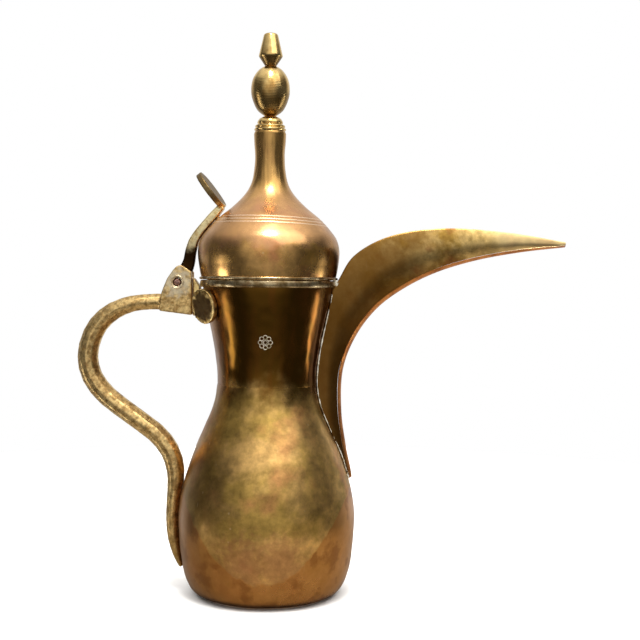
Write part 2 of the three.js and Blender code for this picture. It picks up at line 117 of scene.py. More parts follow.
aim = (cad_low + cad_high) / 2 - Vector((0, 0, AIM_DROP))
back = Vector((
    math.sin(CAMERA_TURN) * math.cos(CAMERA_DIP),
    -math.cos(CAMERA_TURN) * math.cos(CAMERA_DIP),
    math.sin(CAMERA_DIP),
))
camera = placed("camera", bpy.data.cameras.new("camera"))
camera.data.lens = CAMERA_LENS
camera.location = Vector((aim.x, 0, aim.z)) + back * CAMERA_AWAY
camera.rotation_euler = (-back).to_track_quat("-Z", "Y").to_euler()
camera.rotation_euler.rotate_axis("Z", CAMERA_ROLL)
bpy.context.scene.camera = camera
print("camera at, mm:", [round(v / MM) for v in camera.location])

# %% [markdown]
# ## Outlines
# Turned and raised pieces are drawn as a few points of their outline, as a smith keeps a template.
# A smooth curve runs through them. The numbers are millimetres out from the pot's axis and up.

# %% Helpers for outlines
def smooth(points, steps):
    """Points along a smooth curve that passes through the given ones."""
    p = np.array(points, float)
    t = np.linspace(0, len(p) - 1, steps + 1)
    i = np.minimum(t.astype(int), len(p) - 2)
    f = (t - i)[:, None]
    before, here = p[np.maximum(i - 1, 0)], p[i]
    after, beyond = p[i + 1], p[np.minimum(i + 2, len(p) - 1)]
    leave, arrive = (after - before) / 2, (beyond - here) / 2
    cubic = (2 * here - 2 * after + leave + arrive) * f**3
    square = (3 * after - 3 * here - 2 * leave - arrive) * f**2
    return cubic + square + leave * f + here


def offset(line, distance):
    """The line moved sideways, to the left of its direction."""
    along = np.gradient(line, axis=0)
    along /= np.linalg.norm(along, axis=1)[:, None]
    return line + distance * np.column_stack((-along[:, 1], along[:, 0]))


SHEET = 1.3 * MM
BULB = [
    (37.6, 0), (45.2, 5), (49.9, 19), (52.1, 42), (50.2, 61),
    (44.6, 80.5), (37.2, 98.5), (31.8, 112.5), (29.8, 124),
]
NECK = [(29.8, 124.3), (30.1, 134), (32, 147.5), (35, 162), (37.4, 173), (38.5, 180.2), (38.5, 184.8)]
DOME = [
    (39.4, 185.4), (40.9, 193), (41.7, 202), (40, 209.2), (35.6, 215.4), (29.9, 221.4),
    (21.6, 228.3), (14.6, 235.5), (10.9, 242), (9.2, 250), (8.7, 258), (9.2, 266), (9.4, 271.2),
]
waist_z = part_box("body_bulb")[1].z
bulb_line = np.array(smooth(BULB, 150)) * MM
neck_line = np.array(smooth(NECK, 90)) * MM
dome_line = np.array(smooth(DOME, 300)) * MM
print("belly radius, mm:", round(bulb_line[:, 0].max() / MM, 2))

# %% [markdown]
# ## Colour and nodes
# Two small helpers serve every material: one turns an sRGB hex colour to the linear numbers that
# the shader wants, the other adds one node with its settings and its links. A third gives a
# texture's scale from a real size in millimetres.

# %% Helpers for materials
def colour(hexa):
    """Linear RGBA from an sRGB hex string."""
    parts = [int(hexa[i:i + 2], 16) / 255 for i in (1, 3, 5)]
    return [c / 12.92 if c <= 0.04045 else ((c + 0.055) / 1.055) ** 2.4 for c in parts] + [1]


def add(tree, kind, inputs=None, **settings):
    """A new node. Each input is a value, or another node's output to link."""
    node = tree.nodes.new(kind)
    for key, value in settings.items():
        setattr(node, key, value)
    for key, value in (inputs or {}).items():
        if isinstance(value, bpy.types.NodeSocket):
            tree.links.new(value, node.inputs[key])
        else:
            node.inputs[key].default_value = value
    return node


def per(size_mm):
    """A texture's scale, in repeats per metre, for features of that many millimetres."""
    return 1000 / size_mm

# %% [markdown]
# ## Aged sheet brass
# The body, beak and lid are raised from yellow brass sheet. Where hands and cloths rub it, the metal
# is bare, orange-gold and shiny. Elsewhere it wears an olive-brown tarnish that is duller.
# A painted picture could do this too, but noise at real sizes covers every side of the pot: clouds
# of tarnish some centimetres across, redder patches, upright scratches and pale nicks.

# %% The aged brass shader
SCRATCH_STRETCH = 0.09  # scratches are about eleven times as long as they are wide


def aged_brass(
    name, metal, tarnish, red, cover, gloss, dull, cloud_mm, seed,
    bare="#E8C58A", wear=1.0, speck=0.2, grain_mm=2.2,
):
    """A worn metal under patchy tarnish. gloss and dull are the roughness of each."""
    material = bpy.data.materials.new(name)
    material.use_nodes = True
    tree = material.node_tree
    place = add(tree, "ShaderNodeTexCoord").outputs["Object"]

    # Clouds of tarnish, redder patches in them, and a fine speckle over both.
    cloud = add(tree, "ShaderNodeTexNoise", {
        "Vector": place, "W": seed, "Scale": per(cloud_mm), "Detail": 5, "Roughness": 0.62,
        "Distortion": 0.35,
    }, noise_dimensions="4D")
    tarnished = add(tree, "ShaderNodeMapRange", {
        "Value": cloud.outputs["Fac"], "From Min": 0.62 - 0.4 * cover, "From Max": 0.86 - 0.4 * cover,
    }, interpolation_type="SMOOTHSTEP")
    patch = add(tree, "ShaderNodeTexNoise", {
        "Vector": place, "W": seed + 7, "Scale": per(cloud_mm * 0.8), "Detail": 4, "Roughness": 0.55,
    }, noise_dimensions="4D")
    reddened = add(tree, "ShaderNodeMapRange", {
        "Value": patch.outputs["Fac"], "From Min": 0.5, "From Max": 0.68, "To Max": 0.75,
    }, interpolation_type="SMOOTHSTEP")
    grain = add(tree, "ShaderNodeTexNoise", {
        "Vector": place, "W": seed + 3, "Scale": per(grain_mm), "Detail": 6, "Roughness": 0.7,
    }, noise_dimensions="4D")
    speckle = add(tree, "ShaderNodeMapRange", {
        "Value": grain.outputs["Fac"], "From Min": 0.3, "From Max": 0.7,
        "To Min": 1 - speck, "To Max": 1 + 0.8 * speck,
    })
    tone = add(tree, "ShaderNodeMix", {
        0: tarnished.outputs["Result"], 6: colour(metal), 7: colour(tarnish),
    }, data_type="RGBA")
    warm = add(tree, "ShaderNodeMix", {
        0: reddened.outputs["Result"], 6: tone.outputs[2], 7: colour(red),
    }, data_type="RGBA")
    speckled = add(tree, "ShaderNodeMix", {
        0: 1, 6: warm.outputs[2], 7: speckle.outputs["Result"],
    }, data_type="RGBA", blend_type="MULTIPLY")

    # Upright scratches and round nicks: one in each cell of a pattern, kept where the cell's lot is high.
    # Real scratches are hair-thin. These are half a millimetre or more wide, so that they show at all.
    stretched = add(tree, "ShaderNodeMapping", {
        "Vector": place, "Rotation": (0.5, 0.35, 0.2), "Scale": (1, 1, SCRATCH_STRETCH),
    })
    marks = 0
    for where, size_mm, inner, outer, depth, rarity in (
        (stretched.outputs[0], 6, 0.03, 0.08, 0.9, 0.6), (place, 8.5, 0.04, 0.1, 1, 0.72),
    ):
        cells = add(tree, "ShaderNodeTexVoronoi", {"Vector": where, "Scale": per(size_mm), "Randomness": 1})
        lot = add(tree, "ShaderNodeSeparateColor", {"Color": cells.outputs["Color"]})
        picked = add(tree, "ShaderNodeMath", {0: lot.outputs[0], 1: rarity}, operation="GREATER_THAN")
        mark = add(tree, "ShaderNodeMapRange", {
            "Value": cells.outputs["Distance"], "From Min": inner, "From Max": outer,
            "To Min": depth, "To Max": 0,
        })
        kept = add(tree, "ShaderNodeMath", {
            0: mark.outputs["Result"], 1: picked.outputs[0],
        }, operation="MULTIPLY")
        marks = add(tree, "ShaderNodeMath", {0: marks, 1: kept.outputs[0]}, operation="MAXIMUM").outputs[0]
    scraped = add(tree, "ShaderNodeMath", {0: marks, 1: 0.55 * wear}, operation="MULTIPLY")
    worn = add(tree, "ShaderNodeMix", {
        0: scraped.outputs[0], 6: speckled.outputs[2], 7: colour(bare),
    }, data_type="RGBA")

    # Tarnish is duller than bare metal, and the grain varies both.
    sheen = add(tree, "ShaderNodeMapRange", {
        "Value": tarnished.outputs["Result"], "To Min": gloss, "To Max": dull,
    })
    varied = add(tree, "ShaderNodeMath", {
        0: grain.outputs["Fac"], 1: 0.16, 2: sheen.outputs["Result"],
    }, operation="MULTIPLY_ADD")
    rough = add(tree, "ShaderNodeMath", {0: varied.outputs[0], 1: 0.08}, operation="SUBTRACT")

    # A hammer's long swells, the sheet's grain, and the marks pressed into it.
    hammered = add(tree, "ShaderNodeTexNoise", {
        "Vector": place, "W": seed + 5, "Scale": per(14), "Detail": 1,
    }, noise_dimensions="4D")
    swells = add(tree, "ShaderNodeBump", {
        "Strength": 0.35, "Distance": 0.9 * MM, "Height": hammered.outputs["Fac"],
    })
    grained = add(tree, "ShaderNodeBump", {
        "Strength": 0.1, "Distance": 0.02 * MM, "Height": grain.outputs["Fac"],
        "Normal": swells.outputs[0],
    })
    marked = add(tree, "ShaderNodeBump", {
        "Strength": 0.3, "Distance": 0.1 * MM, "Height": marks, "Normal": grained.outputs[0],
    }, invert=True)

    shader = tree.nodes["Principled BSDF"]
    shader.inputs["Metallic"].default_value = 1
    tree.links.new(worn.outputs[2], shader.inputs["Base Color"])
    tree.links.new(rough.outputs[0], shader.inputs["Roughness"])
    tree.links.new(marked.outputs[0], shader.inputs["Normal"])
    return material

# %% [markdown]
# ## The metals
# One shader makes every metal here, because all of them age in the same way: only the colours, the
# shine and the size of the clouds change from raised sheet to castings, turned parts and iron.

# %% The metals
# Raised and planished sheet: broad olive and gold clouds, satin, the brown warmth of the whole pot.
body_brass = aged_brass(
    "aged_sheet_brass", "#E4B66E", "#B4924C", "#C48A56", 0.62, 0.3, 0.46, 30, 1,
    wear=1.5, speck=0.42, grain_mm=7,
)
# Raised sheet that hands lift by: rosier and glossier, so the highlight on its shoulder is sharp.
lid_brass = aged_brass(
    "aged_lid_brass", "#F0BA70", "#BC9048", "#D08C5E", 0.5, 0.22, 0.36, 22, 4,
    speck=0.3, grain_mm=6,
)
# Flat-hammered sheet: yellower than the body, with small blotches of brown.
beak_brass = aged_brass(
    "aged_beak_brass", "#F0CC82", "#B08C44", "#B07448", 0.6, 0.28, 0.42, 15, 9,
    speck=0.5, grain_mm=5,
)
# A strip of copper-rich brass: an orange line that draws the beak's lower edge.
keel_brass = aged_brass("beak_keel_brass", "#E89A54", "#B06C34", "#B06634", 0.5, 0.3, 0.45, 14, 15)
# Sand-cast and filed: pale yellow, dull and closely mottled, so that it reads as a rougher metal.
cast_brass = aged_brass(
    "cast_filed_brass", "#F4D08C", "#B4905A", "#AA8248", 0.5, 0.34, 0.5, 3.2, 21, speck=0.5,
)
# Cast and rubbed by a thumb each day: the palest brass on the pot.
lever_brass = aged_brass(
    "filed_lever_brass", "#FFE8B0", "#D8B874", "#C09A60", 0.35, 0.3, 0.46, 4, 23, speck=0.35,
)
# Cast, and painted darker as shade: it sets the bright edge of the round lobe off.
saddle_brass = aged_brass(
    "cast_saddle_brass", "#F0D08C", "#94743C", "#8A6434", 0.5, 0.32, 0.46, 3.5, 25, speck=0.5,
)
# Turned on a lathe and polished: a clean gold that catches small sharp lights.
turned_brass = aged_brass("turned_brass", "#F4D088", "#C49C54", "#BC8A48", 0.4, 0.16, 0.3, 14, 27)
# Soft solder: a grey, dull bead that shows where two sheets meet.
solder_metal = aged_brass(
    "soft_solder", "#EFEADC", "#B8AC8C", "#A08C60", 0.5, 0.4, 0.6, 2.4, 33, speck=0.5,
)
solder_metal.node_tree.nodes["Principled BSDF"].inputs["Metallic"].default_value = 0.5
# Brass with traces of old tin: a grey-gold line that parts the lid from the body.
band_brass = aged_brass("worn_tinned_brass", "#D4BE94", "#77603C", "#8A6640", 0.55, 0.24, 0.42, 7, 39)
# Iron with a skin of rust: the one brown-red, nearly matt spot, in the pin's two ends.
iron = aged_brass("rusty_iron", "#C8A498", "#7E5A4C", "#8E5A48", 0.5, 0.45, 0.65, 3, 45, "#D8C0B4", 0.5)
print("materials:", [m.name for m in bpy.data.materials])

# %% [markdown]
# ## Where the wear and the painted light sit
# Noise alone puts tarnish anywhere. On a used pot it has reasons, and light and shade are painted in set
# places too: painted shade low on the lever, dark patina and painted shade down the neck between two painted
# reflections, a painted highlight towards the beak's tip.
# Each of these is another colour and roughness laid over a material wherever a mask is 1.

# %% Helpers for wear
def ragged(tree, value, place, reach_mm, lump_mm):
    """A distance made uneven by noise, up to reach_mm each way."""
    edge = add(tree, "ShaderNodeTexNoise", {"Vector": place, "Scale": per(lump_mm), "Detail": 4})
    drift = add(tree, "ShaderNodeMapRange", {
        "Value": edge.outputs["Fac"], "From Min": 0.32, "From Max": 0.68,
        "To Min": -reach_mm * MM, "To Max": reach_mm * MM,
    })
    return add(tree, "ShaderNodeMath", {0: value, 1: drift.outputs["Result"]}, operation="ADD").outputs[0]


def spot(material, centre, inner_mm, outer_mm, keep=(1, 1, 1), ragged_mm=1.0):
    """1 within inner_mm of a place, fading to outer_mm. The far side has the same spot.

    The place is in mm, with every coordinate positive, and keep drops the axes that don't matter.
    """
    tree = material.node_tree
    place = add(tree, "ShaderNodeTexCoord").outputs["Object"]
    folded = add(tree, "ShaderNodeVectorMath", {0: place}, operation="ABSOLUTE")
    kept = add(tree, "ShaderNodeVectorMath", {0: folded.outputs[0], 1: keep}, operation="MULTIPLY")
    away = add(tree, "ShaderNodeVectorMath", {
        0: kept.outputs[0], 1: [c * MM for c in centre],
    }, operation="DISTANCE")
    return add(tree, "ShaderNodeMapRange", {
        "Value": ragged(tree, away.outputs["Value"], place, ragged_mm, 3),
        "From Min": inner_mm * MM, "From Max": outer_mm * MM, "To Min": 1, "To Max": 0,
    }, interpolation_type="SMOOTHSTEP").outputs["Result"]


def zone(material, axis, start_mm, end_mm, ragged_mm=0.0, lump_mm=9.0, sides=False):
    """Rises from 0 to 1 between two places along an axis, with a ragged edge. sides folds the axis."""
    tree = material.node_tree
    place = add(tree, "ShaderNodeTexCoord").outputs["Object"]
    value = add(tree, "ShaderNodeSeparateXYZ", {0: place}).outputs[axis]
    if sides:
        value = add(tree, "ShaderNodeMath", {0: value}, operation="ABSOLUTE").outputs[0]
    return add(tree, "ShaderNodeMapRange", {
        "Value": ragged(tree, value, place, ragged_mm, lump_mm),
        "From Min": start_mm * MM, "From Max": end_mm * MM,
    }, interpolation_type="SMOOTHSTEP").outputs["Result"]


def overlay(material, hexa, roughness, strength, *masks):
    """Lays another colour and roughness over a material, by strength, where every mask is 1."""
    tree = material.node_tree
    shader = tree.nodes["Principled BSDF"]
    amount = strength
    for mask in masks:
        amount = add(tree, "ShaderNodeMath", {0: mask, 1: amount}, operation="MULTIPLY").outputs[0]
    tint = add(tree, "ShaderNodeMix", {
        0: amount, 6: shader.inputs["Base Color"].links[0].from_socket, 7: colour(hexa),
    }, data_type="RGBA")
    tree.links.new(tint.outputs[2], shader.inputs["Base Color"])
    matt = add(tree, "ShaderNodeMix", {
        0: amount, 2: shader.inputs["Roughness"].links[0].from_socket, 3: roughness,
    })
    tree.links.new(matt.outputs[0], shader.inputs["Roughness"])

# %% [markdown]
# ## Wear and painted light on the body
# The neck's middle is dark and smooth, patina from steam and grease and also painted shade, with runs down
# it and painted coppery reflections on its two sides. The bulb's hem is a painted coppery reflection of the
# floor, below an edge that curves up to each side. Noise alone could not give such a curve, so it is a
# formula: z = 15 mm + x squared / 50 mm.

# %% Wear and painted light on the body
NECK_PATINA_AND_SHADE = "#6C4A18"
SHADED = "#6A4720"
PAINTED_REFLECTION_COPPER = "#C08244"
HEM_LOW = 15 * MM
HEM_FADE = 2.5 * MM
HEM_CURVE = 20  # how fast the hem's edge rises to each side, per metre
body_tree = body_brass.node_tree
body_place = add(body_tree, "ShaderNodeTexCoord").outputs["Object"]

neck_high = zone(body_brass, "Z", 108, 134, 6)
neck_middle = zone(body_brass, "X", 38, 27, 3, 14, sides=True)
# Dark patina, and painted shade, down the middle of the neck at front and back.
overlay(body_brass, NECK_PATINA_AND_SHADE, 0.17, 1, neck_high, neck_middle)
drawn_down = add(body_tree, "ShaderNodeMapping", {"Vector": body_place, "Scale": (1, 1, 0.12)})
streaks = add(body_tree, "ShaderNodeTexNoise", {
    "Vector": drawn_down.outputs[0], "Scale": per(5), "Detail": 4,
})
runs = add(body_tree, "ShaderNodeMapRange", {
    "Value": streaks.outputs["Fac"], "From Min": 0.45, "From Max": 0.65, "To Max": 0.5,
})
overlay(body_brass, "#7A4A1C", 0.24, 1, neck_high, runs.outputs["Result"])
# Painted reflections: two upright coppery streaks on the neck's sides.
overlay(body_brass, "#A8642C", 0.17, 0.35, neck_high, zone(body_brass, "X", 20, 29, 4, sides=True))
overlay(body_brass, "#A0604A", 0.36, 0.45, spot(body_brass, (10, 0, 28), 6, 22, (1, 0, 1), 5))

# Painted reflection of the floor: the bulb's hem turns coppery below a curved edge.
body_xyz = add(body_tree, "ShaderNodeSeparateXYZ", {0: body_place})
x_squared = add(body_tree, "ShaderNodeMath", {
    0: body_xyz.outputs["X"], 1: body_xyz.outputs["X"],
}, operation="MULTIPLY")
above_curve = add(body_tree, "ShaderNodeMath", {
    0: x_squared.outputs[0], 1: -HEM_CURVE, 2: body_xyz.outputs["Z"],
}, operation="MULTIPLY_ADD")
hem = add(body_tree, "ShaderNodeMapRange", {
    "Value": ragged(body_tree, above_curve.outputs[0], body_place, 1.2, 7),
    "From Min": HEM_LOW, "From Max": HEM_LOW + HEM_FADE, "To Min": 1, "To Max": 0,
}, interpolation_type="SMOOTHSTEP").outputs["Result"]
overlay(body_brass, PAINTED_REFLECTION_COPPER, 0.26, 0.75, hem)
# Noise of half a unit each way leaves dull brown blotches here and there inside the hem.
dull_hem = add(body_tree, "ShaderNodeMapRange", {
    "Value": ragged(body_tree, hem, body_place, 500, 11), "From Min": 1.05, "From Max": 1.35, "To Max": 0.55,
})
overlay(body_brass, "#8A5528", 0.36, 1, dull_hem.outputs["Result"])
# Painted shade: the pot's left side is darker.
overlay(body_brass, SHADED, 0.36, 0.5, zone(body_brass, "X", -12, -38, 6, 14))
print("body shader nodes:", len(body_tree.nodes))

# %% [markdown]
# ## Wear and painted light on the lid
# The bell is rosier and lighter from its shoulder up, partly a painted highlight, painted shade darkens its
# sides and its stem is yellower. Three scribed lines show clean metal. They could be a colour picture
# wrapped round the lid, but a line is only a height, a little tilted, so the shader compares heights.

# %% Wear and painted light on the lid
GROOVE_HEIGHTS = [221.6 * MM, 219.8 * MM, 218 * MM]
GROOVE_TILT = math.tan(math.radians(-1.5))
LINE_HALF = 0.24 * MM
LINE_SUM = 250.4 * MM  # at the lines, radius plus height is more than this only on the sheet's outside
lid_tree = lid_brass.node_tree
lid_place = add(lid_tree, "ShaderNodeTexCoord").outputs["Object"]

# Painted highlight with a rosier tone: the bell is lighter from the shoulder up.
overlay(lid_brass, "#E4AC80", 0.27, 0.5, zone(lid_brass, "Z", 202, 207, 3))
# Painted shade on both sides of the bell.
overlay(lid_brass, SHADED, 0.3, 0.3, zone(lid_brass, "X", 26, 38, 3, sides=True))
overlay(lid_brass, "#C49C50", 0.28, 0.6, zone(lid_brass, "Z", 228, 242, 4))
level_line = add(lid_tree, "ShaderNodeVectorMath", {
    0: lid_place, 1: (-GROOVE_TILT, 0, 1),
}, operation="DOT_PRODUCT").outputs["Value"]
scribed = 0
for groove in GROOVE_HEIGHTS:
    line = add(lid_tree, "ShaderNodeMath", {0: level_line, 1: groove, 2: LINE_HALF}, operation="COMPARE")
    scribed = add(lid_tree, "ShaderNodeMath", {
        0: scribed, 1: line.outputs[0],
    }, operation="MAXIMUM").outputs[0]
across_lid = add(lid_tree, "ShaderNodeVectorMath", {0: lid_place, 1: (1, 1, 0)}, operation="MULTIPLY")
lid_radius = add(lid_tree, "ShaderNodeVectorMath", {0: across_lid.outputs[0]}, operation="LENGTH")
lid_sum = add(lid_tree, "ShaderNodeMath", {0: lid_radius.outputs["Value"], 1: level_line}, operation="ADD")
outside = add(lid_tree, "ShaderNodeMath", {0: lid_sum.outputs[0], 1: LINE_SUM}, operation="GREATER_THAN")
overlay(lid_brass, "#F6D8B8", 0.5, 0.85, scribed, outside.outputs[0])
print("lid shader nodes:", len(lid_tree.nodes))

# %% [markdown]
# ## Wear and painted light on the beak, castings and finial
# Painted shade darkens the beak towards the body and lower down, and a painted highlight brightens it
# towards its tip. Painted shade sits at the lever's root and on its thumb disc, chalky polish round the pin,
# and painted shade under the turned knobs and on the saddle's lobes.

# %% Wear and painted light on the beak, castings and finial
PIN_PLACE = (53.4, 0, 183.6)
LOBE_PLACE = (35.8, 18.6, 169.8)

# Painted shade: the beak darkens towards the body.
overlay(beak_brass, "#76501E", 0.36, 0.92, zone(beak_brass, "X", 140, 62, 16, 14))
# Painted highlight: the beak brightens towards its tip.
overlay(beak_brass, "#FFE2A4", 0.3, 0.6, zone(beak_brass, "X", 112, 150, 8, 20))
# Painted shade: the beak darkens lower down.
overlay(beak_brass, "#5E3A12", 0.36, 0.45, zone(beak_brass, "Z", 200, 150, 8, 9))
# Painted shade: the lever is near black at its root.
overlay(lever_brass, "#33210F", 0.5, 1, zone(lever_brass, "Z", 207, 201, 2, 4))
# Painted shade on the thumb disc at the lever's top.
overlay(lever_brass, "#6E5630", 0.5, 0.9, zone(lever_brass, "Z", 227, 231, 1, 4))
overlay(cast_brass, "#EFE4C8", 0.48, 0.6, spot(cast_brass, PIN_PLACE, 5, 10.5, (1, 0, 1), 2.5))
overlay(cast_brass, "#8A6C3A", 0.45, 0.6, zone(cast_brass, "Z", 50, 26, 6, 8))
# Painted shade on the face of each round lobe.
overlay(saddle_brass, "#301C08", 0.4, 0.92, spot(saddle_brass, LOBE_PLACE, 7.4, 9.8, ragged_mm=1.4))
# Painted shade under the egg.
under_egg = zone(turned_brass, "Z", 300, 289, 1, 4)
overlay(turned_brass, "#6A4C20", 0.3, 0.75, under_egg, zone(turned_brass, "Z", 281, 282.5))
# Painted shade under the tip's ring.
under_tip = zone(turned_brass, "Z", 317, 315.5)
overlay(turned_brass, "#5A3C16", 0.35, 0.8, under_tip, zone(turned_brass, "Z", 310.6, 311.4))
print("worn materials:", [m.name for m in (beak_brass, lever_brass, cast_brass, saddle_brass, turned_brass)])

# %% [markdown]
# ## Turned and raised pieces
# Each is a closed outline carried round the pot's axis. A Screw modifier would do, but building the
# rings directly lets the same loop add what a hammer leaves: the sheet swells in and out by a
# fraction of a millimetre, the inner wall along with the outer one.

# %% Helpers for pieces
def new_piece(name, vertices, faces, sharp=35):
    """A mesh object of merged vertices with outward normals, smooth but for edges over sharp degrees."""
    mesh = bpy.data.meshes.new(name)
    mesh.from_pydata([tuple(v) for v in vertices], [], [tuple(f) for f in faces])
    work = bmesh.new()
    work.from_mesh(mesh)
    bmesh.ops.remove_doubles(work, verts=work.verts, dist=1e-6)
    bmesh.ops.dissolve_degenerate(work, edges=work.edges, dist=1e-7)
    bmesh.ops.recalc_face_normals(work, faces=work.faces)
    work.to_mesh(mesh)
    work.free()
    mesh.shade_smooth()
    mesh.set_sharp_from_angle(angle=math.radians(sharp))
    return placed(name, mesh)


def settle(piece, body, slot, material, *nodes):
    """Gives a finished piece its material and its body, and hides the CAD nodes that it stands for. slot is
    not used.
    """
    piece.data.materials.clear()
    piece.data.materials.append(material)
    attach(piece, body)
    if nodes:
        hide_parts(*nodes)
    print(piece.name, len(piece.data.polygons), "faces")
    return piece


def ring_faces(rings, count, closed_rings=True):
    """Quads between rings that each have count points."""
    last = rings if closed_rings else rings - 1
    a = np.arange(last)[:, None] * count
    b = (np.arange(last)[:, None] + 1) % rings * count
    i = np.arange(count)[None, :]
    j = (i + 1) % count
    return np.stack((a + i, b + i, b + j, a + j), axis=-1).reshape(-1, 4)


def tube_faces(rings, count):
    """The faces of an open run of rings, closed by a cap at each end."""
    faces = [tuple(f) for f in ring_faces(rings, count, closed_rings=False)]
    return faces + [tuple(range(count)), tuple(range((rings - 1) * count, rings * count))]


NOISE_GIRTH = 40  # mm: the radius at which the swells' noise is read, whatever the piece's own


def revolved(profile, steps, swell=0.0, size=22.0, seed=0.0):
    """Vertices and faces of a closed profile of (radius, height) turned about Z.

    swell is how far the surface goes in and out, and size how long a swell is, both in mm.
    """
    angles = np.linspace(0, 2 * math.pi, steps, endpoint=False)
    points = []
    for angle in angles:
        c, s = math.cos(angle), math.sin(angle)
        for r, z in profile:
            if swell and r > 0:
                at = Vector((c * NOISE_GIRTH / size, s * NOISE_GIRTH / size, z / MM / size + seed))
                r += swell * MM * noise.fractal(at, 0.8, 2.0, 3)
            points.append((r * c, r * s, z))
    return np.array(points), ring_faces(steps, len(profile))


def shell(outer, thickness):
    """A closed profile: the outer line, then the same line moved inwards and walked back."""
    return np.vstack((outer, offset(outer, thickness)[::-1]))

# %% [markdown]
# ## The bulb and the foot
# The bulb is the pot's largest piece, one raised sheet 1.3 mm thick. The foot is a plain disc let
# into its lower rim, with a small bevel where it meets the table.

# %% The bulb and the foot
bulb = new_piece("bulb_shell", *revolved(shell(bulb_line, SHEET), 224, swell=0.35))
settle(bulb, "pot", "sheet_brass", body_brass, "body_bulb")

foot_low, foot_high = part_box("base_plate")
foot_r = foot_high.x
foot_profile = [
    (0, foot_low.z), (foot_r - 0.3 * MM, foot_low.z), (foot_r, foot_low.z + 0.3 * MM),
    (foot_r - 0.8 * MM, foot_high.z), (0, foot_high.z),
]
foot = new_piece("foot_disc", *revolved(foot_profile, 160))
settle(foot, "pot", "sheet_brass", body_brass, "base_plate")

# %% [markdown]
# ## Pouring holes
# Behind the beak the neck's wall is pierced by a patch of small holes, which strain the coffee.
# Repeated cuts are Geometry Nodes work: one round punch is set out on a staggered grid of points,
# and a Mesh Boolean takes all the punches from the wall at once.

# %% Pierce the neck
def node_tree(name, *sizes):
    """An empty geometry tree with a geometry input and output and named size inputs."""
    tree = bpy.data.node_groups.new(name, "GeometryNodeTree")
    tree.interface.new_socket("Geometry", in_out="INPUT", socket_type="NodeSocketGeometry")
    for size, kind in sizes:
        tree.interface.new_socket(size, in_out="INPUT", socket_type=kind)
    tree.interface.new_socket("Geometry", in_out="OUTPUT", socket_type="NodeSocketGeometry")
    return tree, add(tree, "NodeGroupInput"), add(tree, "NodeGroupOutput")


def grown(name, source, tree, values):
    """A plain mesh object from source with the tree run on it. source is then removed."""
    modifier = source.modifiers.new(name, "NODES")
    modifier.node_group = tree
    for item in tree.interface.items_tree:
        if item.in_out == "INPUT" and item.name in values:
            modifier[item.identifier] = values[item.name]
    bpy.context.view_layer.update()
    evaluated = source.evaluated_get(bpy.context.evaluated_depsgraph_get())
    mesh = bpy.data.meshes.new_from_object(evaluated)
    mesh.name = name
    bpy.data.objects.remove(source)
    return placed(name, mesh)


POUR_ROWS = 5
POUR_WALL = 34 * MM  # where the wall is, so that each punch goes right through it
POUR_LOWEST = 142 * MM
POUR_PITCH_Y = 4.6 * MM
POUR_PITCH_Z = 7 * MM
POUR_HOLE = 2.1 * MM

tree, given, result = node_tree(
    "pouring_holes", ("Hole radius", "NodeSocketFloat"), ("Centres", "NodeSocketObject"),
)
punch = add(tree, "GeometryNodeMeshCylinder", {
    "Vertices": 20, "Radius": given.outputs["Hole radius"], "Depth": 16 * MM,
})
centres = add(tree, "GeometryNodeObjectInfo", {"Object": given.outputs["Centres"]})
punches = add(tree, "GeometryNodeInstanceOnPoints", {
    "Points": centres.outputs["Geometry"], "Instance": punch.outputs["Mesh"],
    "Rotation": (0, math.pi / 2, 0),
})
separate = add(tree, "GeometryNodeRealizeInstances", {0: punches.outputs[0]})
pierce = add(tree, "GeometryNodeMeshBoolean", {
    "Mesh 1": given.outputs["Geometry"], "Mesh 2": separate.outputs[0],
}, operation="DIFFERENCE")
finish = add(tree, "GeometryNodeSetMaterial", {0: pierce.outputs[0], "Material": body_brass})
tree.links.new(finish.outputs[0], result.inputs[0])

grid = []
for row in range(POUR_ROWS):
    for column in ((-0.5, 0.5) if row % 2 else (-1, 0, 1)):
        grid.append((POUR_WALL, column * POUR_PITCH_Y, POUR_LOWEST + row * POUR_PITCH_Z))
centre_mesh = bpy.data.meshes.new("pouring_centres")
centre_mesh.from_pydata(grid, [], [])
centre_points = placed("pouring_centres", centre_mesh)

whole_neck = new_piece("whole_neck", *revolved(shell(neck_line, SHEET), 224, swell=0.22, seed=3))
neck = grown("neck_shell", whole_neck, tree, {"Hole radius": POUR_HOLE, "Centres": centre_points})
bpy.data.objects.remove(centre_points)
neck.data.set_sharp_from_angle(angle=math.radians(35))
settle(neck, "pot", "sheet_brass", body_brass, "body_neck")

# %% [markdown]
# ## Waist joint and mouth band
# The neck is lapped into the bulb and brazed, then filed flush, so only a faint line shows.
# The mouth is stiffened by a strip with a round bead, rubbed by the lid until it is grey-gold.

# %% Waist joint and mouth band
BRAZE_PROUD = 0.04 * MM
BRAZE_HALF = 0.34 * MM
BRAZE_DEPTH = 0.9 * MM
BRAZE_ABOVE = 0.15 * MM  # the joint's middle, over the bulb's top edge
BAND_INSIDE = 38.8 * MM
BAND_BULGE = 0.9 * MM

waist_r = bulb_line[-1, 0]
seam = [
    (waist_r + BRAZE_PROUD * math.cos(a), waist_z + BRAZE_ABOVE + BRAZE_HALF * math.sin(a))
    for a in np.linspace(-math.pi / 2, math.pi / 2, 7)
]
seam_profile = seam + [(waist_r - BRAZE_DEPTH, seam[-1][1]), (waist_r - BRAZE_DEPTH, seam[0][1])]
waist = new_piece("waist_braze", *revolved(seam_profile, 224, swell=0.3, seed=1))
settle(waist, "pot", "sheet_brass", body_brass)

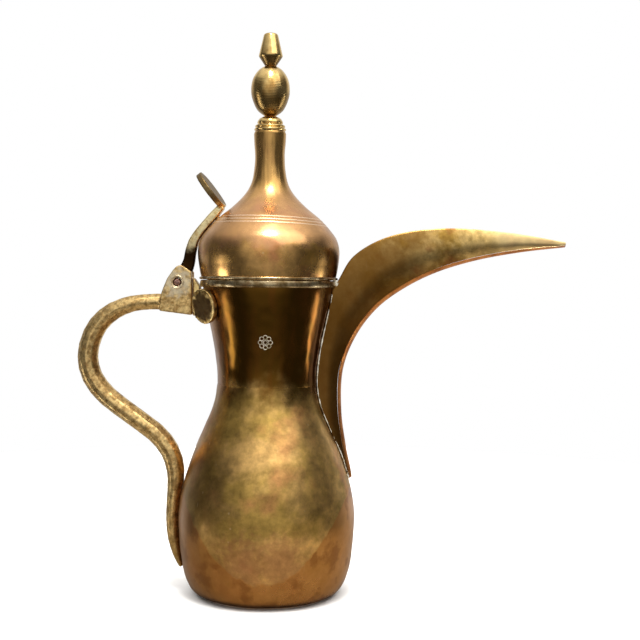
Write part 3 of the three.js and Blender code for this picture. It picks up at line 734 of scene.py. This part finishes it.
band_low, band_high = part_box("mouth_band")
band_mid = (band_low.z + band_high.z) / 2
bead = (band_high.z - band_low.z) / 2
band_profile = [(BAND_INSIDE, band_low.z)]
for a in np.linspace(-math.pi / 2, math.pi / 2, 13):
    band_profile.append((band_high.y - BAND_BULGE * (1 - math.cos(a)), band_mid + bead * math.sin(a)))
band_profile.append((BAND_INSIDE, band_high.z))
band = new_piece("mouth_band_beads", *revolved(band_profile, 224, swell=0.14, size=9, seed=6))
settle(band, "pot", "tinned_brass", band_brass, "mouth_band")

# %% [markdown]
# ## The lid
# The bell is raised like the body, its rim bound by a thin wire. Three lines are scribed round the
# shoulder by hand, a little out of level. They are cut as real grooves: every ring of points close
# to a line is pushed in, and the material shows clean metal in them.

# %% The lid
GROOVE_HALF = 0.42 * MM
GROOVE_DEPTH = 0.16 * MM
LID_SHEET = 1.2 * MM
TUBE_BORE = 7.6 * MM
ROD_HOLE = 1.9 * MM

tube_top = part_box("lid_dome")[1].z
lid_outer = np.vstack((dome_line, [(8.9 * MM, tube_top - 0.2 * MM), (8.4 * MM, tube_top)]))
lid_inner = offset(dome_line, LID_SHEET)[::-1]
lid_profile = np.vstack((
    lid_outer, [(ROD_HOLE, tube_top)], [(ROD_HOLE, tube_top - LID_SHEET)],
    [(TUBE_BORE, tube_top - LID_SHEET)], lid_inner[6:],
))
lid_profile[-1, 1] = dome_line[0, 1]
points, faces = revolved(lid_profile, 240, swell=0.22, size=26, seed=9)
outer_count = len(lid_outer)
on_outside = np.arange(len(points)) % len(lid_profile) < outer_count
for groove in GROOVE_HEIGHTS:
    off = points[:, 2] - (groove + GROOVE_TILT * points[:, 0])
    push = GROOVE_DEPTH * np.exp(-((off / (0.6 * GROOVE_HALF)) ** 2)) * on_outside
    reach = np.maximum(np.hypot(points[:, 0], points[:, 1]), 1e-6)
    points[:, 0] -= points[:, 0] / reach * push
    points[:, 1] -= points[:, 1] / reach * push
lid = new_piece("lid_bell", points, faces)
settle(lid, "lid", "lid_brass", lid_brass, "lid_dome")

wire_low, wire_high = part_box("lid_rim_wire")
wire_z = (wire_low.z + wire_high.z) / 2
wire_r = (wire_high.z - wire_low.z) / 2
wire_profile = [
    (wire_high.y - wire_r + wire_r * math.cos(a), wire_z + wire_r * math.sin(a))
    for a in np.linspace(0, 2 * math.pi, 14, endpoint=False)
]
wire = new_piece("lid_rim_bead", *revolved(wire_profile, 224, swell=0.12, size=8, seed=2))
settle(wire, "lid", "tinned_brass", band_brass, "lid_rim_wire")

ring_low, ring_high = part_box("lid_locating_ring")
ring_profile = [
    (35.4 * MM, ring_low.z + 0.3 * MM), (35.7 * MM, ring_low.z), (36.2 * MM, ring_low.z),
    (36.5 * MM, ring_low.z + 0.3 * MM), (36.5 * MM, ring_high.z - 1.2 * MM),
    (ring_high.y, ring_high.z - 1.2 * MM), (ring_high.y, ring_high.z), (35.4 * MM, ring_high.z),
]
ring = new_piece("lid_inner_ring", *revolved(ring_profile, 200))
settle(ring, "lid", "lid_brass", lid_brass, "lid_locating_ring")

# %% [markdown]
# ## The finial
# The knob is turned on a lathe: a stepped collar, an egg and a pointed tip on one rod. The tool
# leaves fine rings, so the outline itself carries a shallow ripple.

# %% The finial
def rippled(line, pitch, depth):
    """The outline with the shallow rings that a turning tool leaves."""
    line = np.array(line)
    far = np.concatenate(([0], np.cumsum(np.linalg.norm(np.diff(line, axis=0), axis=1))))
    line[:, 0] += depth * np.sin(far / pitch * 2 * math.pi)
    return line


collar_low, collar_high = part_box("finial_collar")
COLLAR = [
    (9.0, 272.9), (9.35, 273.5), (9.2, 274.1), (8.5, 274.35), (8.45, 274.75), (8.85, 275.2),
    (8.75, 275.9), (8.1, 276.4), (7.3, 276.7), (7.25, 277.1), (7.6, 277.6), (7.2, 278.8),
    (6.2, 280.1), (4.6, 281), (4.2, 281.2),
]
collar_line = np.array(smooth(COLLAR, 70)) * MM
collar_profile = np.vstack(([(ROD_HOLE, collar_low.z)], collar_line, [(ROD_HOLE, collar_high.z)]))
collar = new_piece("finial_step_collar", *revolved(collar_profile, 96), sharp=50)
settle(collar, "lid", "turned_brass", turned_brass, "finial_collar")

EGG = [
    (3.2, 281.6), (7.7, 285.2), (10.7, 291.8), (11.4, 297.6), (10.3, 303.4), (7.2, 308.2), (3.4, 310.8),
]
egg_low, egg_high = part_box("finial_egg")
egg_line = rippled(np.array(smooth(EGG, 260)) * MM, 0.9 * MM, 0.02 * MM)
egg_profile = np.vstack(([(ROD_HOLE, egg_low.z)], egg_line, [(ROD_HOLE, egg_high.z)]))
egg = new_piece("finial_egg_bead", *revolved(egg_profile, 112), sharp=60)
settle(egg, "lid", "turned_brass", turned_brass, "finial_egg")

tip_low, tip_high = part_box("finial_tip")
TIP = [
    (3.4, 311.1), (6.9, 316.3), (7.05, 316.8), (6.9, 317.5), (4.3, 328.6), (3.9, 329.4),
    (3.2, 329.8), (0, 330),
]
tip_outline = [(ROD_HOLE, tip_low.z)] + [(r * MM, z * MM) for r, z in TIP]
tip_outline += [(0, tip_high.z - 8 * MM), (ROD_HOLE, tip_high.z - 8 * MM)]
tip = new_piece("finial_point", *revolved(tip_outline, 96), sharp=50)
bevel = tip.modifiers.new("worn_edges", "BEVEL")
bevel.width = 0.25 * MM
bevel.segments = 2
bevel.limit_method = "ANGLE"
settle(tip, "lid", "turned_brass", turned_brass, "finial_tip")

# %% [markdown]
# ## The beak
# The beak is two side sheets and a narrow keel strip that closes the edge below them. Between the
# keel's curve and the lip's curve every cross-section bellies out and narrows again, which is a
# rule, so the sheets are drawn section by section. Where a section runs into the body it stops on
# the body's own surface, so the seam follows the pot's curve.

# %% The beak's sections
# keel x and z, lip x and z, half width at the keel, at the belly and at the lip, keel depth
BEAK = [
    (48.9, 64.2, 40, 60, 1.4, 2.6, 2.6, 1.2),
    (50.2, 70.5, 36, 67, 2.0, 4.6, 4.8, 1.8),
    (46.6, 88, 29, 86, 2.4, 6.6, 7.4, 2.0),
    (43.7, 109, 25, 111, 2.6, 7.4, 8.2, 2.1),
    (44.4, 133, 25, 139, 2.7, 7.9, 8.6, 2.2),
    (51.8, 152.8, 29, 166, 2.8, 8.6, 9.0, 2.3),
    (64, 169.2, 40.4, 184.6, 2.8, 9.3, 9.0, 2.4),
    (79.8, 181.2, 50.8, 200.6, 2.8, 9.3, 8.2, 2.4),
    (99, 190.9, 72, 211.9, 2.7, 8.6, 7.0, 2.4),
    (122, 198.1, 103, 216.5, 2.5, 7.2, 5.8, 2.2),
    (148, 203.1, 140, 214.5, 2.0, 4.9, 4.2, 1.8),
    (174, 206.3, 174, 209.2, 1.5, 2.5, 2.4, 0.9),
]
BELLY_AT = 0.55
SEAM_GAP = 0.12 * MM
KEEL_GAP = 0.15 * MM
body_line = np.vstack((bulb_line, neck_line[:-1], [(band_high.y, band_low.z), (band_high.y, band_high.z)]))
sections = smooth(BEAK, 260) * MM


def half_width(section, v):
    """Half the beak's width at v, from 0 at the keel to 1 at the lip."""
    keel_half, belly, lip_half = section[4:7]
    rise = np.sin(math.pi / 2 * np.minimum(v / BELLY_AT, 1))
    past = np.maximum(v - BELLY_AT, 0) / (1 - BELLY_AT)
    return keel_half + (belly - keel_half) * rise + (lip_half - belly) * past**2


def section_points(section, v):
    """Outer points of one side at each v."""
    x = section[0] + (section[2] - section[0]) * v
    z = section[1] + (section[3] - section[1]) * v
    return np.column_stack((x, half_width(section, v), z))


def outside_body(point):
    """How far a point is outside the body's outer surface."""
    if point[2] > band_high.z:
        return 1.0
    return math.hypot(point[0], point[1]) - np.interp(point[2], body_line[:, 1], body_line[:, 0])


def section_span(section):
    """The first and last v of a section's free sheet, or None if it is inside the body."""
    reach = math.hypot(section[2] - section[0], section[3] - section[1])
    low = (section[7] + KEEL_GAP) / reach
    steps = np.linspace(low, 1, 200)
    free = [outside_body(p) > SEAM_GAP for p in section_points(section, steps)]
    if not free[0]:
        return None
    stop = free.index(False) if False in free else len(free)
    if stop < 2:
        return None
    return low, steps[stop - 1], reach, stop == len(free)


spans = [(s, section_span(s)) for s in sections]
spans = [(s, span) for s, span in spans if span]
print("beak sections outside the body:", len(spans))

# %% [markdown]
# ## The beak's sheets and keel
# Each side sheet is a run of section outlines joined into a tube: out along the outer face, round
# the free lip and back along the inner face. The keel is a shallow V, so that it faces the floor
# and takes its glow, where the sheets face the dark room.

# %% The beak's sheets and keel
ACROSS = 34
LIP_ROUND = 0.5 * MM
SWELL_SIZE = 16 * MM
SWELL_DEPTH = 0.22 * MM


def cheek(side):
    """One side sheet, with a rounded free lip. side is 1 or -1. Also returns its seam with the body."""
    rings, seam_line = [], []
    for section, (low, high, reach, free) in spans:
        rim = min(LIP_ROUND / reach, (high - low) / 3)
        v = np.linspace(low, high - rim, ACROSS)
        outer = section_points(section, v)
        inner = outer.copy()
        inner[:, 1] = np.maximum(outer[:, 1] - SHEET, 0.4 * MM)
        middle = (outer[-1, 1] + inner[-1, 1]) / 2
        half = (outer[-1, 1] - inner[-1, 1]) / 2
        arc = []
        for a in (math.pi / 4, math.pi / 2, 3 * math.pi / 4):
            point = section_points(section, np.array([high - rim + rim * math.sin(a)]))[0]
            point[1] = middle + half * math.cos(a)
            arc.append(point)
        ring = np.vstack((outer, arc, inner[::-1]))
        for point in ring:
            at = Vector(point) / SWELL_SIZE
            point[1] += SWELL_DEPTH * noise.noise(at)
        if not free:
            seam_line.append(outer[-1] * (1, side, 1))
        rings.append(ring * (1, side, 1))
    return np.vstack(rings), tube_faces(len(rings), len(rings[0])), seam_line


seams = {}
for side, word in ((1, "left"), (-1, "right")):
    vertices, faces, seams[side] = cheek(side)
    sheet_piece = new_piece("beak_sheet_" + word, vertices, faces)
    settle(sheet_piece, "pot", "beak_brass", beak_brass, "spout_cheek_" + word)

KEEL_LAP = 0.6 * MM  # how far the strip reaches over each sheet's edge
KEEL_ROUND = 0.3  # 0 would be a sharp V, 1 half an ellipse
keel_arc = np.linspace(math.pi, 2 * math.pi, 15)
keel_rings = []
for section, (low, high, reach, free) in spans:
    inward = np.array([section[2] - section[0], 0, section[3] - section[1]]) / reach
    start = np.array([section[0], 0, section[1]])
    half = section[4] + KEEL_LAP
    ring = []
    for a in keel_arc:
        sunk = KEEL_ROUND * (1 + math.sin(a)) + (1 - KEEL_ROUND) * abs(math.cos(a))
        ring.append(start + inward * section[7] * sunk + np.array([0, half * math.cos(a), 0]))
    keel_rings.append(ring)
keel_faces = tube_faces(len(keel_rings), len(keel_arc))
keel = new_piece("beak_keel_strip", np.vstack(keel_rings), keel_faces, sharp=60)
settle(keel, "pot", "beak_brass", keel_brass, "spout_keel")

# %% [markdown]
# ## Solder runs
# Soft solder creeps along the joint between beak and body in an uneven grey bead. It follows a path,
# so Geometry Nodes make it: a tube swept along the seam, its radius and surface disturbed by noise.

# %% The solder runs
tree, given, result = node_tree(
    "solder_run", ("Bead radius", "NodeSocketFloat"), ("Unevenness", "NodeSocketFloat"),
)
path = add(tree, "GeometryNodeMeshToCurve", {0: given.outputs["Geometry"]})
even = add(tree, "GeometryNodeResampleCurve", {"Curve": path.outputs[0], "Length": 0.5 * MM}, mode="LENGTH")
where = add(tree, "GeometryNodeInputPosition")
drops = add(tree, "ShaderNodeTexNoise", {"Vector": where.outputs[0], "Scale": per(5), "Detail": 3})
swelling = add(tree, "ShaderNodeMapRange", {
    "Value": drops.outputs["Fac"], "From Min": 0.32, "From Max": 0.72, "To Min": 0.12, "To Max": 1.5,
})
radius = add(tree, "ShaderNodeMath", {
    0: swelling.outputs["Result"], 1: given.outputs["Bead radius"],
}, operation="MULTIPLY")
section_circle = add(tree, "GeometryNodeCurvePrimitiveCircle", {"Resolution": 8, "Radius": 1.0})
swept = add(tree, "GeometryNodeCurveToMesh", {
    "Curve": even.outputs[0], "Profile Curve": section_circle.outputs[0],
    "Scale": radius.outputs[0], "Fill Caps": True,
})
lumps = add(tree, "ShaderNodeTexNoise", {"Vector": where.outputs[0], "Scale": per(1.6), "Detail": 2})
centred = add(tree, "ShaderNodeVectorMath", {
    0: lumps.outputs["Color"], 1: (0.5, 0.5, 0.5),
}, operation="SUBTRACT")
shift = add(tree, "ShaderNodeVectorMath", {
    0: centred.outputs[0], "Scale": given.outputs["Unevenness"],
}, operation="SCALE")
rough = add(tree, "GeometryNodeSetPosition", {0: swept.outputs[0], "Offset": shift.outputs[0]})
finish = add(tree, "GeometryNodeSetMaterial", {0: rough.outputs[0], "Material": solder_metal})
tree.links.new(finish.outputs[0], result.inputs[0])


def solder_run(name, path_points, bead_radius):
    """A bead of solder along points."""
    mesh = bpy.data.meshes.new(name + "_path")
    edges = [(i, i + 1) for i in range(len(path_points) - 1)]
    mesh.from_pydata([tuple(p) for p in path_points], edges, [])
    source = placed(name + "_path", mesh)
    run = grown(name, source, tree, {"Bead radius": bead_radius, "Unevenness": 0.5 * MM})
    run.data.shade_smooth()
    settle(run, "pot", "tinned_brass", solder_metal)


for side, word in ((1, "left"), (-1, "right")):
    solder_run("solder_seam_" + word, seams[side], 0.36 * MM)
    blob_line = []
    for turn in np.linspace(math.radians(13), math.radians(8), 6):
        r = band_high.y - 0.1 * MM
        blob_line.append((r * math.cos(turn), side * r * math.sin(turn), band_mid + 0.6 * MM))
    solder_run("solder_blob_" + word, blob_line, 1.5 * MM)

# %% [markdown]
# ## Cast and filed pieces
# The handle with its fork, the saddle with its two round lobes, and the lid's lever are castings
# that were cleaned up with a file, so they have no crisp edge and no true flat. The CAD solids have
# the right shape but hard facets. A voxel remesh turns a copy into one even skin, smoothing it
# rounds every edge as a file does, and a little noise leaves the unevenness of a sand casting.

# %% The castings
def casting(name, node, voxel, rounds, lump, seed):
    """An even, softened copy of a CAD node's surface with slightly lumpy faces."""
    mesh = frame["nodes"][node].data.copy()
    work = bmesh.new()
    work.from_mesh(mesh)
    bmesh.ops.remove_doubles(work, verts=work.verts, dist=1e-6)
    work.to_mesh(mesh)
    work.free()
    source = placed(name + "_source", mesh)
    skin = source.modifiers.new("even_skin", "REMESH")
    skin.mode = "VOXEL"
    skin.voxel_size = voxel
    filed = source.modifiers.new("filed", "SMOOTH")
    filed.factor = 0.5
    filed.iterations = rounds
    bpy.context.view_layer.update()
    evaluated = source.evaluated_get(bpy.context.evaluated_depsgraph_get())
    made = bpy.data.meshes.new_from_object(evaluated)
    made.name = name
    bpy.data.objects.remove(source)
    count = len(made.vertices)
    places = np.empty(count * 3)
    made.vertices.foreach_get("co", places)
    normals = np.empty(count * 3)
    made.vertex_normals.foreach_get("vector", normals)
    places, normals = places.reshape(-1, 3), normals.reshape(-1, 3)
    for i in range(count):
        at = Vector(places[i] / MM) + Vector((seed, 0, 0))
        uneven = 0.7 * noise.noise(at / 6.0) + 0.3 * noise.noise(at / 1.7)
        places[i] += normals[i] * lump * uneven
    made.vertices.foreach_set("co", places.ravel())
    made.update()
    made.shade_smooth()
    return placed(name, made)


handle = casting("handle_casting", "handle", 0.5 * MM, 9, 0.16 * MM, 5)
settle(handle, "pot", "cast_brass", cast_brass, "handle")
saddle = casting("saddle_casting", "handle_saddle", 0.4 * MM, 6, 0.16 * MM, 25)
settle(saddle, "pot", "cast_brass", saddle_brass, "handle_saddle")
lever = casting("lever_casting", "thumb_lever", 0.4 * MM, 5, 0.1 * MM, 55)
settle(lever, "lid", "cast_brass", lever_brass, "thumb_lever")

# %% [markdown]
# ## A stamped rosette
# A small punched mark sits on the front of the neck. Here it is a plain rosette of rings. A ring of
# equal parts is what Geometry Nodes do well: one circle is set out round a larger one, every curve
# becomes a thin burr of raised metal, and the flat result is then bent on to the neck.

# %% The rosette
tree, given, result = node_tree(
    "stamped_rosette", ("Petals", "NodeSocketInt"), ("Spread", "NodeSocketFloat"),
    ("Petal radius", "NodeSocketFloat"), ("Line radius", "NodeSocketFloat"),
)
spread = add(tree, "GeometryNodeCurvePrimitiveCircle", {
    "Resolution": given.outputs["Petals"], "Radius": given.outputs["Spread"],
})
petal = add(tree, "GeometryNodeCurvePrimitiveCircle", {
    "Resolution": 20, "Radius": given.outputs["Petal radius"],
})
petals = add(tree, "GeometryNodeInstanceOnPoints", {
    "Points": spread.outputs[0], "Instance": petal.outputs[0],
})
heart = add(tree, "GeometryNodeCurvePrimitiveCircle", {
    "Resolution": 20, "Radius": given.outputs["Petal radius"],
})
rings = add(tree, "GeometryNodeJoinGeometry")
tree.links.new(petals.outputs[0], rings.inputs[0])
tree.links.new(heart.outputs[0], rings.inputs[0])
apart = add(tree, "GeometryNodeRealizeInstances", {0: rings.outputs[0]})
burr_section = add(tree, "GeometryNodeCurvePrimitiveCircle", {
    "Resolution": 8, "Radius": given.outputs["Line radius"],
})
burr = add(tree, "GeometryNodeCurveToMesh", {
    "Curve": apart.outputs[0], "Profile Curve": burr_section.outputs[0],
})
finish = add(tree, "GeometryNodeSetMaterial", {0: burr.outputs[0], "Material": solder_metal})
tree.links.new(finish.outputs[0], result.inputs[0])

blank = placed("rosette_source", bpy.data.meshes.new("rosette_source"))
rosette = grown("neck_rosette", blank, tree, {
    "Petals": 8, "Spread": 2.9 * MM, "Petal radius": 1.12 * MM, "Line radius": 0.13 * MM,
})
ROSETTE_X = 0.4 * MM
ROSETTE_Z = 150 * MM
for vertex in rosette.data.vertices:
    across, up, out = vertex.co
    z = ROSETTE_Z + up
    r = np.interp(z, neck_line[:, 1], neck_line[:, 0]) + 0.1 * MM + out
    turn = (ROSETTE_X + across) / r
    vertex.co = (r * math.sin(turn), -r * math.cos(turn), z)
rosette.data.shade_smooth()
settle(rosette, "pot", "sheet_brass", solder_metal)

# %% [markdown]
# ## Pin and rivets
# The iron pin's ends are hammered over into low, uneven domes inside the fork's holes. The lever's
# two rivets are filed off flush outside and keep a low head inside the lid.

# %% The pin and rivets
def crosswise(points, centre):
    """Points turned about Z, laid along Y and moved to a centre."""
    return np.column_stack((points[:, 0] + centre.x, points[:, 2], points[:, 1] + centre.z))


PIN_DOME = 0.9 * MM
pin_low, pin_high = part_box("hinge_pin")
pin_r = (pin_high.x - pin_low.x) / 2
pin_half = pin_high.y
pin_dome = [
    (pin_r * math.cos(a), pin_half - PIN_DOME + PIN_DOME * math.sin(a))
    for a in np.linspace(0, math.pi / 2, 9)
]
pin_profile = [(0, -pin_dome[-1][1])] + [(r, -y) for r, y in pin_dome[::-1]][1:] + pin_dome
pin_points, pin_faces = revolved(pin_profile, 48, swell=0.25, size=3)
pin_centre = (pin_low + pin_high) / 2
pin = new_piece("iron_hinge_pin", crosswise(pin_points, pin_centre), pin_faces)
settle(pin, "pot", "iron", iron, "hinge_pin")

RING_RADIUS = 3.7 * MM
RING_BURR = 0.42 * MM
EAR_FACE = 7 * MM
for side, word in ((1, "left"), (-1, "right")):
    burr_profile = [
        (RING_RADIUS + RING_BURR * math.cos(a), side * EAR_FACE + RING_BURR * math.sin(a))
        for a in np.linspace(0, 2 * math.pi, 10, endpoint=False)
    ]
    ring_points, ring_quads = revolved(burr_profile, 60, swell=0.3, size=9, seed=side)
    peened = new_piece("peened_ring_" + word, crosswise(ring_points, pin_centre), ring_quads)
    settle(peened, "pot", "cast_brass", cast_brass)

for word in ("lower", "upper"):
    rivet = casting("rivet_" + word, "lever_rivet_" + word, 0.15 * MM, 2, 0.05 * MM, 75)
    settle(rivet, "lid", "cast_brass", cast_brass, "lever_rivet_" + word)
for node, material in (("finial_rod", iron), ("finial_washer", band_brass)):
    kept = frame["nodes"][node].data
    kept.materials.clear()
    kept.materials.append(material)

# %% [markdown]
# ## Light and floor
# Polished metal shows its surroundings, so they are what makes brass look like brass. In front of
# the pot the room is dark, which gives the deep brown down the neck. Behind it all is white, which
# gives the thin bright edges, and a low window on each side draws an upright orange streak. They
# could be lamps, but drawn in the world's shader by direction they stay soft and leave no noise.

# %% Surround the pot
DARK = 0.09
BEHIND = 0.75
ZENITH = 0.9
WINDOW = 4.4
WINDOWS = ((-84, 4.5), (102, 2.5))  # degrees from straight in front, and half the width in degrees
WINDOW_EDGE = 4  # degrees over which a window fades out to each side

world = bpy.data.worlds.new("studio")
bpy.context.scene.world = world
world.use_nodes = True
sky = world.node_tree
direction = add(sky, "ShaderNodeSeparateXYZ", {0: add(sky, "ShaderNodeTexCoord").outputs["Generated"]})
behind = add(sky, "ShaderNodeMapRange", {
    "Value": direction.outputs["Y"], "From Min": 0.3, "From Max": 0.75, "To Min": DARK, "To Max": BEHIND,
}, interpolation_type="SMOOTHSTEP")
above = add(sky, "ShaderNodeMapRange", {
    "Value": direction.outputs["Z"], "From Min": 0.3, "From Max": 0.95, "To Min": 0, "To Max": ZENITH,
}, interpolation_type="SMOOTHSTEP")
level = add(sky, "ShaderNodeMath", {
    0: behind.outputs["Result"], 1: above.outputs["Result"],
}, operation="MAXIMUM").outputs[0]

# The room in front is lightest straight ahead and high up.
forward = add(sky, "ShaderNodeMath", {0: direction.outputs["Y"], 1: -1}, operation="MULTIPLY")
turned = add(sky, "ShaderNodeMath", {
    0: direction.outputs["X"], 1: forward.outputs[0],
}, operation="ARCTAN2")
swing = add(sky, "ShaderNodeMath", {0: turned.outputs[0]}, operation="ABSOLUTE")
ahead = add(sky, "ShaderNodeMapRange", {
    "Value": swing.outputs[0], "From Min": math.radians(10), "From Max": math.radians(62),
    "To Min": 1, "To Max": 0,
}, interpolation_type="SMOOTHSTEP")
rising = add(sky, "ShaderNodeMapRange", {
    "Value": direction.outputs["Z"], "From Min": -0.6, "From Max": 0.35, "To Min": 0.08, "To Max": 1,
})
front = add(sky, "ShaderNodeMath", {
    0: ahead.outputs["Result"], 1: rising.outputs["Result"],
}, operation="MULTIPLY")
level = add(sky, "ShaderNodeMath", {0: level, 1: front.outputs[0]}, operation="MAXIMUM").outputs[0]

# The windows reach up to just below eye level.
tall = add(sky, "ShaderNodeMapRange", {
    "Value": direction.outputs["Z"], "From Min": -0.3, "From Max": -0.12, "To Min": WINDOW, "To Max": 0,
}, interpolation_type="SMOOTHSTEP")
for degrees, half in WINDOWS:
    aside = add(sky, "ShaderNodeMath", {
        0: turned.outputs[0], 1: math.radians(degrees),
    }, operation="SUBTRACT")
    off_centre = add(sky, "ShaderNodeMath", {0: aside.outputs[0]}, operation="ABSOLUTE")
    pane = add(sky, "ShaderNodeMapRange", {
        "Value": off_centre.outputs[0], "From Min": math.radians(half),
        "From Max": math.radians(half + WINDOW_EDGE), "To Min": 1, "To Max": 0,
    }, interpolation_type="SMOOTHSTEP")
    shine = add(sky, "ShaderNodeMath", {
        0: pane.outputs["Result"], 1: tall.outputs["Result"],
    }, operation="MULTIPLY")
    level = add(sky, "ShaderNodeMath", {0: level, 1: shine.outputs[0]}, operation="MAXIMUM").outputs[0]

# The camera itself sees plain white.
seen = add(sky, "ShaderNodeLightPath")
strength = add(sky, "ShaderNodeMath", {0: level, 1: seen.outputs["Is Camera Ray"]}, operation="MAXIMUM")
sky.nodes["Background"].inputs["Color"].default_value = (1, 1, 1, 1)
sky.links.new(strength.outputs[0], sky.nodes["Background"].inputs["Strength"])
bpy.context.scene.view_settings.view_transform = "Standard"
print("world shader nodes:", len(sky.nodes))

# %% [markdown]
# ## Lamps
# A small softbox overhead gives the sharp highlight on the lid's shoulder, and a larger, weaker one
# to the right gives the broad glow on the bulb. A wide light above fills the shadows. The metal
# doesn't mirror that one, because a white ceiling would wash out the dark reflections.

# %% Hang the lights
def area_light(name, at, size, watts):
    """A soft square light that faces the pot's middle."""
    light = placed(name, bpy.data.lights.new(name, "AREA"))
    light.data.size = size
    light.data.energy = watts
    light.location = at
    light.rotation_euler = (aim - Vector(at)).to_track_quat("-Z", "Y").to_euler()
    return light


area_light("overhead_softbox", (0.06, -0.5, 1.35), 0.3, 9)
area_light("right_softbox", (0.55, -0.55, 1.1), 1.0, 4)
room = area_light("room_light", (0, 0, 2.0), 4.0, 90)
room.visible_glossy = False
print("lights:", [light.name for light in bpy.data.lights])

# %% [markdown]
# ## The floor
# A white sheet of card under the pot. What the metal mirrors is only a smaller card by the foot,
# so the belly's lowest part glows orange and the neck above stays dark, as in a dark room.

# %% Lay the floor
FLOOR_RADIUS = 0.62
CARD_RADIUS = 0.24


def disc(name, radius, x, z, hexa):
    """A flat round sheet of card."""
    mesh = bpy.data.meshes.new(name)
    corners = [
        (x + radius * math.cos(a), radius * math.sin(a), z)
        for a in np.linspace(0, 2 * math.pi, 96, endpoint=False)
    ]
    mesh.from_pydata(corners, [], [tuple(range(96))])
    sheet = placed(name, mesh)
    card = bpy.data.materials.new(name + "_card")
    card.use_nodes = True
    shader = card.node_tree.nodes["Principled BSDF"]
    shader.inputs["Base Color"].default_value = colour(hexa)
    shader.inputs["Roughness"].default_value = 0.9
    mesh.materials.append(card)
    sheet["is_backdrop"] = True
    return sheet


floor = disc("floor", FLOOR_RADIUS, 0, cad_low.z - 0.1 * MM, "#F4F3F0")
floor.visible_glossy = False
glow = disc("foot_glow", CARD_RADIUS, 0.07, cad_low.z + 0.2 * MM, "#8A8276")
glow.visible_camera = False
glow.visible_diffuse = False
glow.visible_shadow = False
print("floor radius, m:", FLOOR_RADIUS)

# %% [markdown]
# ## Sizes
# The pieces' box is printed, beside the CAD model's box printed at the start. The
# pieces must stay within the CAD model's box.

# %% Print the sizes and finish
low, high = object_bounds()
print("visual box, mm:", [round(v / MM, 1) for v in (*low, *high)])
